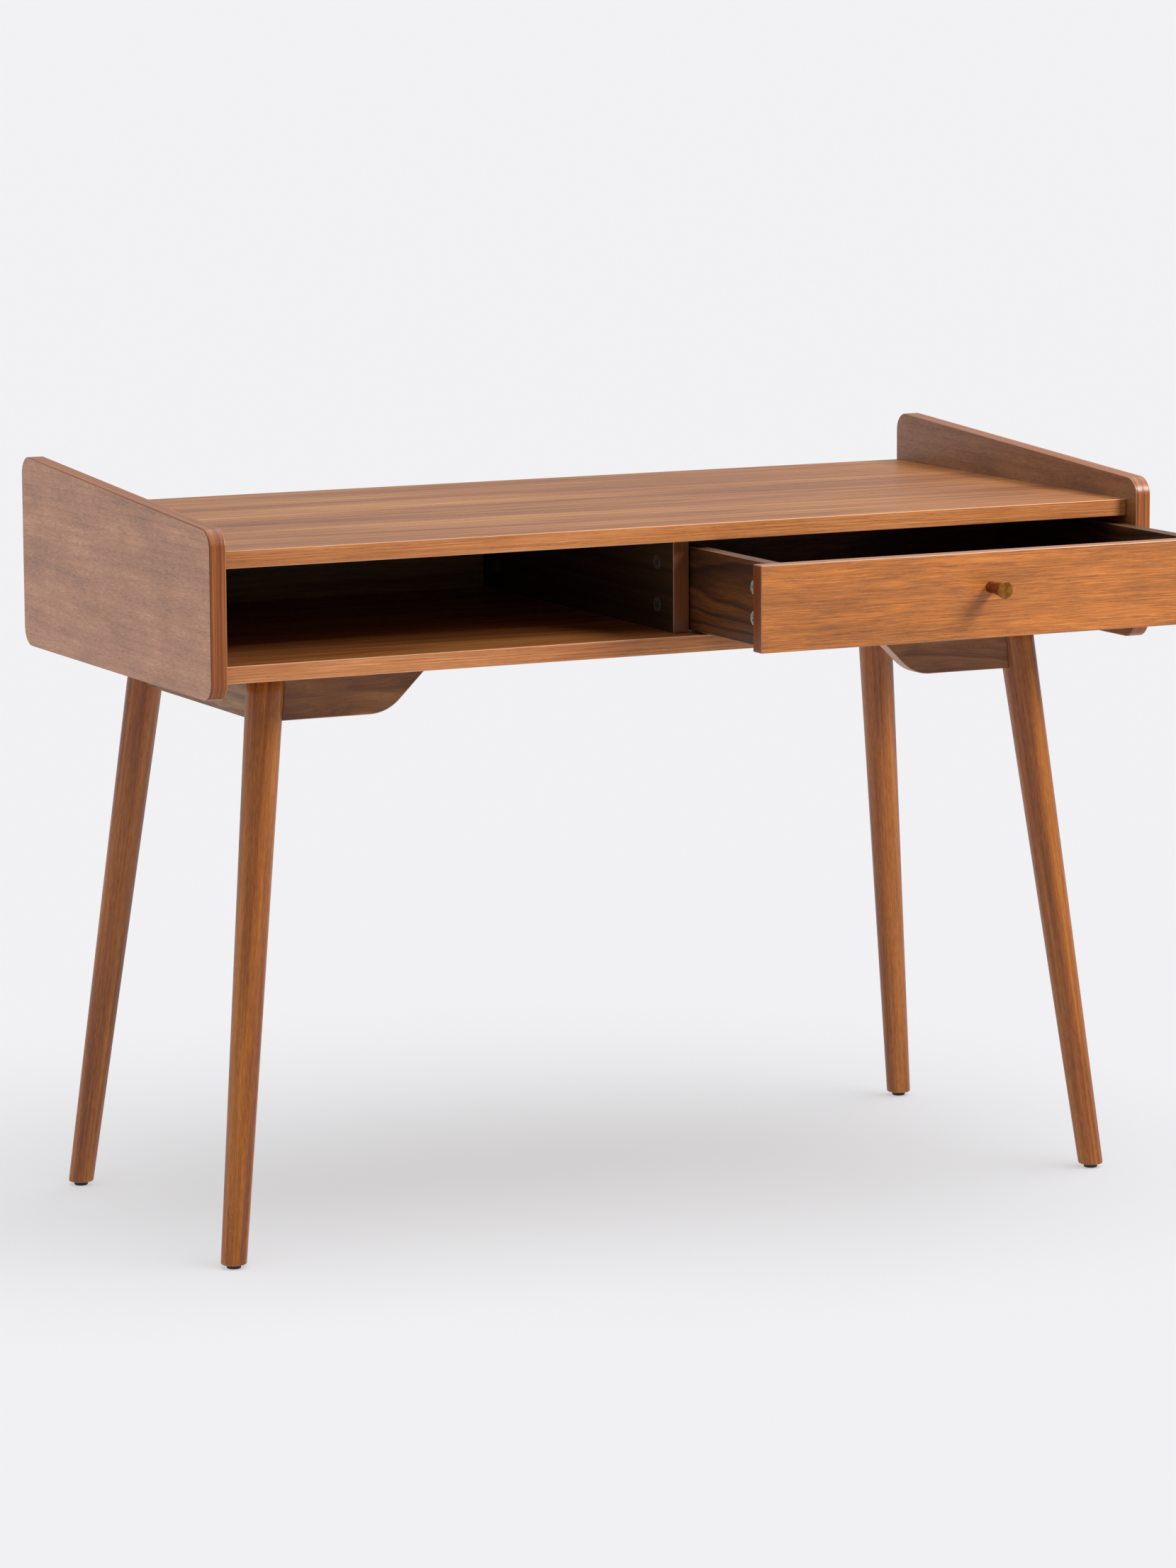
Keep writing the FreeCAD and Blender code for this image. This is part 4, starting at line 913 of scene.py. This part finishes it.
# Room: a white sweep behind and to the left of the desk, and a dim studio in front of it. What is seen past
# the floor's edge has the floor's own pale tone, so that no horizon shows from low down.
room = {"colour": "#FFFFFF", "front": 0.1, "left": 0.36, "back": 0.4, "seen": "#F1F1F4",
        "leftStart": 0.1, "leftEnd": -0.9, "backStart": -0.1, "backEnd": 0.9}
world = bpy.data.worlds.new("studioRoom")
bpy.context.scene.world = world
world.use_nodes = True
tree = world.node_tree
toSky = addNode(tree, "TexCoord")
skyParts = addNode(tree, "SeparateXYZ", links={"Vector": toSky.outputs["Generated"]})
fromLeft = addNode(tree, "MapRange", {"interpolation_type": "SMOOTHSTEP"},
                   {"From Min": room["leftStart"], "From Max": room["leftEnd"], "To Max": room["left"]},
                   {"Value": skyParts.outputs["X"]})
fromBack = addNode(tree, "MapRange", {"interpolation_type": "SMOOTHSTEP"},
                   {"From Min": room["backStart"], "From Max": room["backEnd"], "To Min": room["front"],
                    "To Max": room["back"]}, {"Value": skyParts.outputs["Y"]})
glow = addNode(tree, "Math", "ADD", links={0: fromLeft, 1: fromBack})
worldBack = tree.nodes["Background"]
worldBack.inputs["Color"].default_value = linear(room["colour"])
tree.links.new(glow.outputs[0], worldBack.inputs["Strength"])
sweep = addNode(tree, "Background", {}, {"Color": linear(room["seen"])})
rays = addNode(tree, "LightPath")
roomOrSweep = addNode(tree, "MixShader", links={0: rays.outputs["Is Camera Ray"], 1: worldBack, 2: sweep})
tree.links.new(roomOrSweep.outputs[0], tree.nodes["World Output"].inputs["Surface"])

# Lamps: two softboxes at the front right, a broad light overhead, and one for the floor alone. The desktop
# has softboxes of its own that don't mirror in it, so that it isn't burnt out when seen from behind.
softboxes = {
    "keyBox": {"place": (1.39, -1.44, 1.90), "aim": (0.0, 0.05, 0.70), "size": 0.75, "power": 41.0},
    "farBox": {"place": (2.4, -3.2, 2.8), "aim": (0.0, 0.05, 0.70), "size": 1.2, "power": 18.0},
}
skyLights = {
    "overhead": {"energy": 2.4, "angle": 90, "from": (0.1, 0.1, 1.0), "lights": "allButFloor"},
    "floorLight": {"energy": 3.3, "angle": 68, "from": (0.24, -0.26, 1.0), "lights": "floorOnly"},
}
overDesk = (0.0, 0.0, 3.0)        # a sun shines the same from any place
desktop = bpy.data.objects["topBoard"]
receivers = {
    "allButFloor": {floor: "EXCLUDE"}, "floorOnly": {floor: "INCLUDE"},
    "allButTop": {floor: "EXCLUDE", desktop: "EXCLUDE"}, "topOnly": {desktop: "INCLUDE"},
}
lightLinks = {}
for name, states in receivers.items():
    lightLinks[name] = bpy.data.collections.new(name)
    for k, (piece, state) in enumerate(states.items()):
        lightLinks[name].objects.link(piece)
        lightLinks[name].collection_objects[k].light_linking.link_state = state


def hangLamp(name, lamp, away, place, lights):        # the lamp shines against "away"
    lampObject = bpy.data.objects.new(name, lamp)
    lampObject.location = place
    lampObject.rotation_mode = "QUATERNION"
    lampObject.rotation_quaternion = Vector(away).to_track_quat("Z", "Y")
    lampObject.light_linking.receiver_collection = lightLinks[lights]
    bpy.context.scene.collection.objects.link(lampObject)
    return lampObject


for name, box in softboxes.items():
    lamp = bpy.data.lights.new(name, "AREA")
    lamp.shape = "DISK"
    lamp.size = box["size"]
    lamp.energy = box["power"]
    away = Vector(box["place"]) - Vector(box["aim"])
    hangLamp(name, lamp, away, box["place"], "allButTop")
    topLamp = hangLamp(name + "OnTop", lamp, away, box["place"], "topOnly")
    topLamp.visible_glossy = False
for name, sky in skyLights.items():
    lamp = bpy.data.lights.new(name, "SUN")
    lamp.energy = sky["energy"]
    lamp.angle = math.radians(sky["angle"])
    hangLamp(name, lamp, sky["from"], overDesk, sky["lights"])

# Camera, worked out from the desk's edges in the picture
view = {"place": (-2.68892, -5.36935, 1.38299), "yaw": -26.21, "pitch": -8.83, "roll": -0.27,
        "focalPixels": 7973.93, "imageHeight": 2212, "sensor": 36.0, "reach": 1000.0}
yaw, pitch, roll = [math.radians(view[key]) for key in ("yaw", "pitch", "roll")]
ahead = Vector((-math.sin(yaw) * math.cos(pitch), math.cos(yaw) * math.cos(pitch), math.sin(pitch)))
level = Vector((math.cos(yaw), math.sin(yaw), 0.0))
upward = level.cross(ahead)
across = math.cos(roll) * level + math.sin(roll) * upward
upright = -math.sin(roll) * level + math.cos(roll) * upward
cameraTurn = Matrix((across, upright, -ahead)).transposed().to_4x4()
cameraData = bpy.data.cameras.new("photoView")
cameraData.sensor_fit = "AUTO"
cameraData.sensor_width = view["sensor"]
cameraData.lens = view["focalPixels"] / view["imageHeight"] * view["sensor"]
cameraData.clip_end = view["reach"]
camera = bpy.data.objects.new("photoView", cameraData)
camera.matrix_world = Matrix.Translation(view["place"]) @ cameraTurn
bpy.context.scene.collection.objects.link(camera)
bpy.context.scene.camera = camera
bpy.context.scene.view_settings.view_transform = "Standard"
print("stage, lights and camera set")
